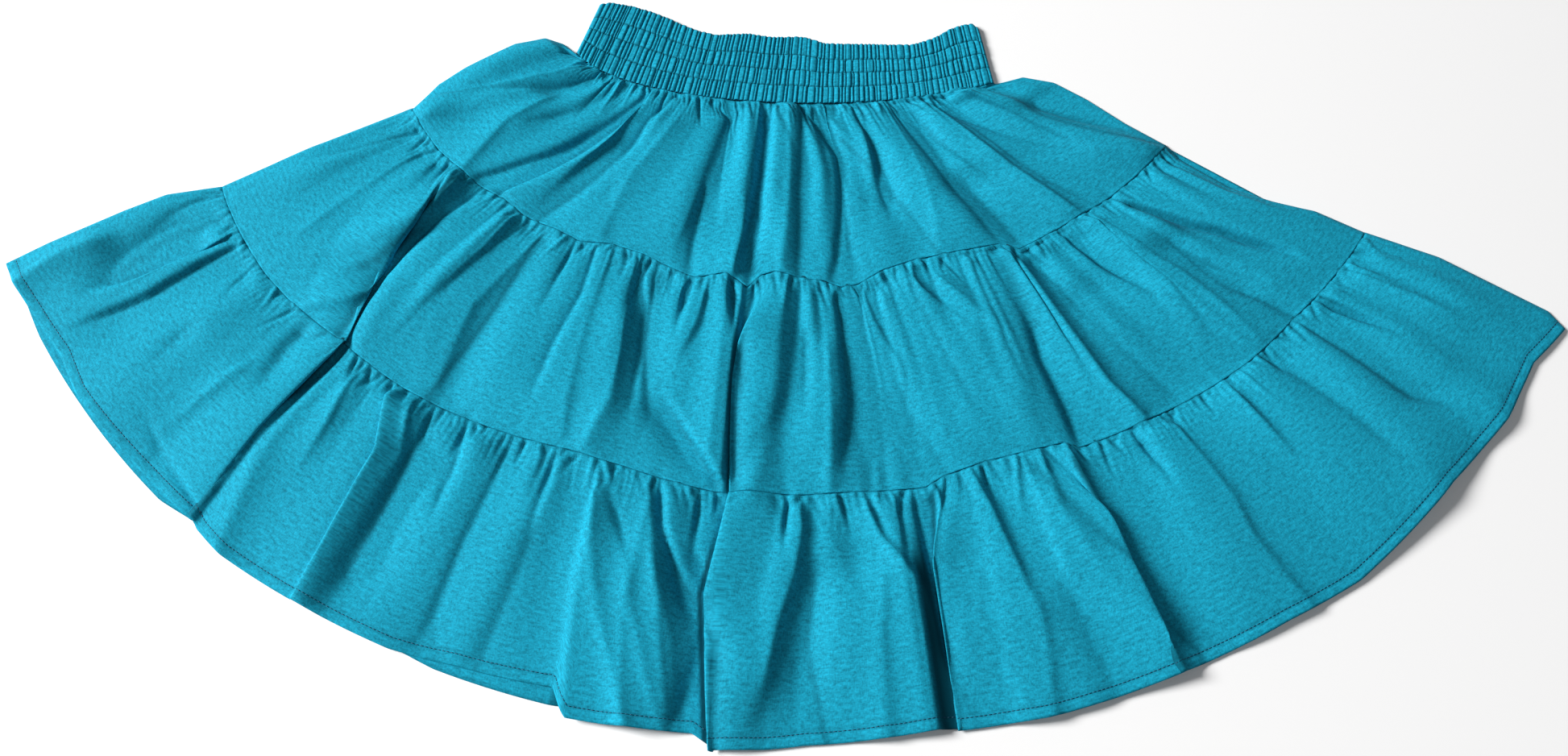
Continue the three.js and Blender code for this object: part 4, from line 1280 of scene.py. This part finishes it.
class SKIRT_OT_set_stage(Operator):
    """Sets the pale floor, the soft light and the camera at the photograph's angle"""

    bl_idname = "skirt.set_stage"
    bl_label = "Set Stage"

    def execute(self, context):
        stage = context.scene.skirt_stage
        bpy.ops.object.select_all(action="DESELECT")
        bpy.ops.mesh.primitive_plane_add(size=6, location=(0, 0, 0))
        floor = context.object
        floor.name = "floor"
        paper, _, _ = new_material("pale floor", Base_Color=FLOOR_COLOUR, Roughness=0.9)
        floor.data.materials.append(paper)

        for name, place, size, power, colour in LAMPS:
            light = bpy.data.lights.new(name, "AREA")
            light.shape = "DISK"
            light.size = size
            light.energy = power
            light.color = colour
            lamp = bpy.data.objects.new(name, light)
            lamp.location = place
            lamp.rotation_euler = (-Vector(place)).to_track_quat("-Z", "Y").to_euler()
            context.collection.objects.link(lamp)
        world = bpy.data.worlds.new("room light")
        world.use_nodes = True
        set_inputs(world.node_tree.nodes["Background"],
                   {"Color": WORLD_LIGHT[0], "Strength": WORLD_LIGHT[1]})
        context.scene.world = world
        context.scene.view_settings.view_transform = "Standard"

        camera = bpy.data.cameras.new("camera")
        camera.sensor_width = SENSOR_WIDTH
        camera.lens = SENSOR_WIDTH * PHOTO_FOCAL / PHOTO_WIDTH
        viewer = bpy.data.objects.new("camera", camera)
        target = -MIDDLE * MM
        viewer.location = (target[0], target[1] - stage.distance * math.cos(stage.elevation),
                           stage.distance * math.sin(stage.elevation))
        viewer.rotation_euler = (math.pi / 2 - stage.elevation, 0, 0)
        context.collection.objects.link(viewer)
        context.scene.camera = viewer
        return {"FINISHED"}


class SKIRT_PT_panel(Panel):
    bl_idname = "SKIRT_PT_panel"
    bl_label = "Square Dance Skirt"
    bl_space_type = "VIEW_3D"
    bl_region_type = "UI"
    bl_category = "Skirt"

    def draw(self, context):
        for settings in (context.scene.skirt_cloth, context.scene.skirt_stage):
            for name in settings.bl_rna.properties.keys():
                if name not in ("rna_type", "name"):
                    self.layout.prop(settings, name)
        for operator in OPERATORS:
            self.layout.operator(operator.bl_idname)


OPERATORS = (SKIRT_OT_set_stage, SKIRT_OT_lay_backs, SKIRT_OT_sew_tier, SKIRT_OT_shir_waistband)
CLASSES = (SkirtCloth, SkirtStage, *OPERATORS, SKIRT_PT_panel)


def register():
    for item in CLASSES:
        bpy.utils.register_class(item)
    bpy.types.Scene.skirt_cloth = PointerProperty(type=SkirtCloth)
    bpy.types.Scene.skirt_stage = PointerProperty(type=SkirtStage)


def unregister():
    del bpy.types.Scene.skirt_stage
    del bpy.types.Scene.skirt_cloth
    for item in reversed(CLASSES):
        bpy.utils.unregister_class(item)


def main():
    register()
    bpy.ops.skirt.set_stage()
    bpy.ops.skirt.lay_backs()
    for tier in range(3):
        bpy.ops.skirt.sew_tier(tier=tier)
    bpy.ops.skirt.shir_waistband()


if __name__ == "__main__":
    main()
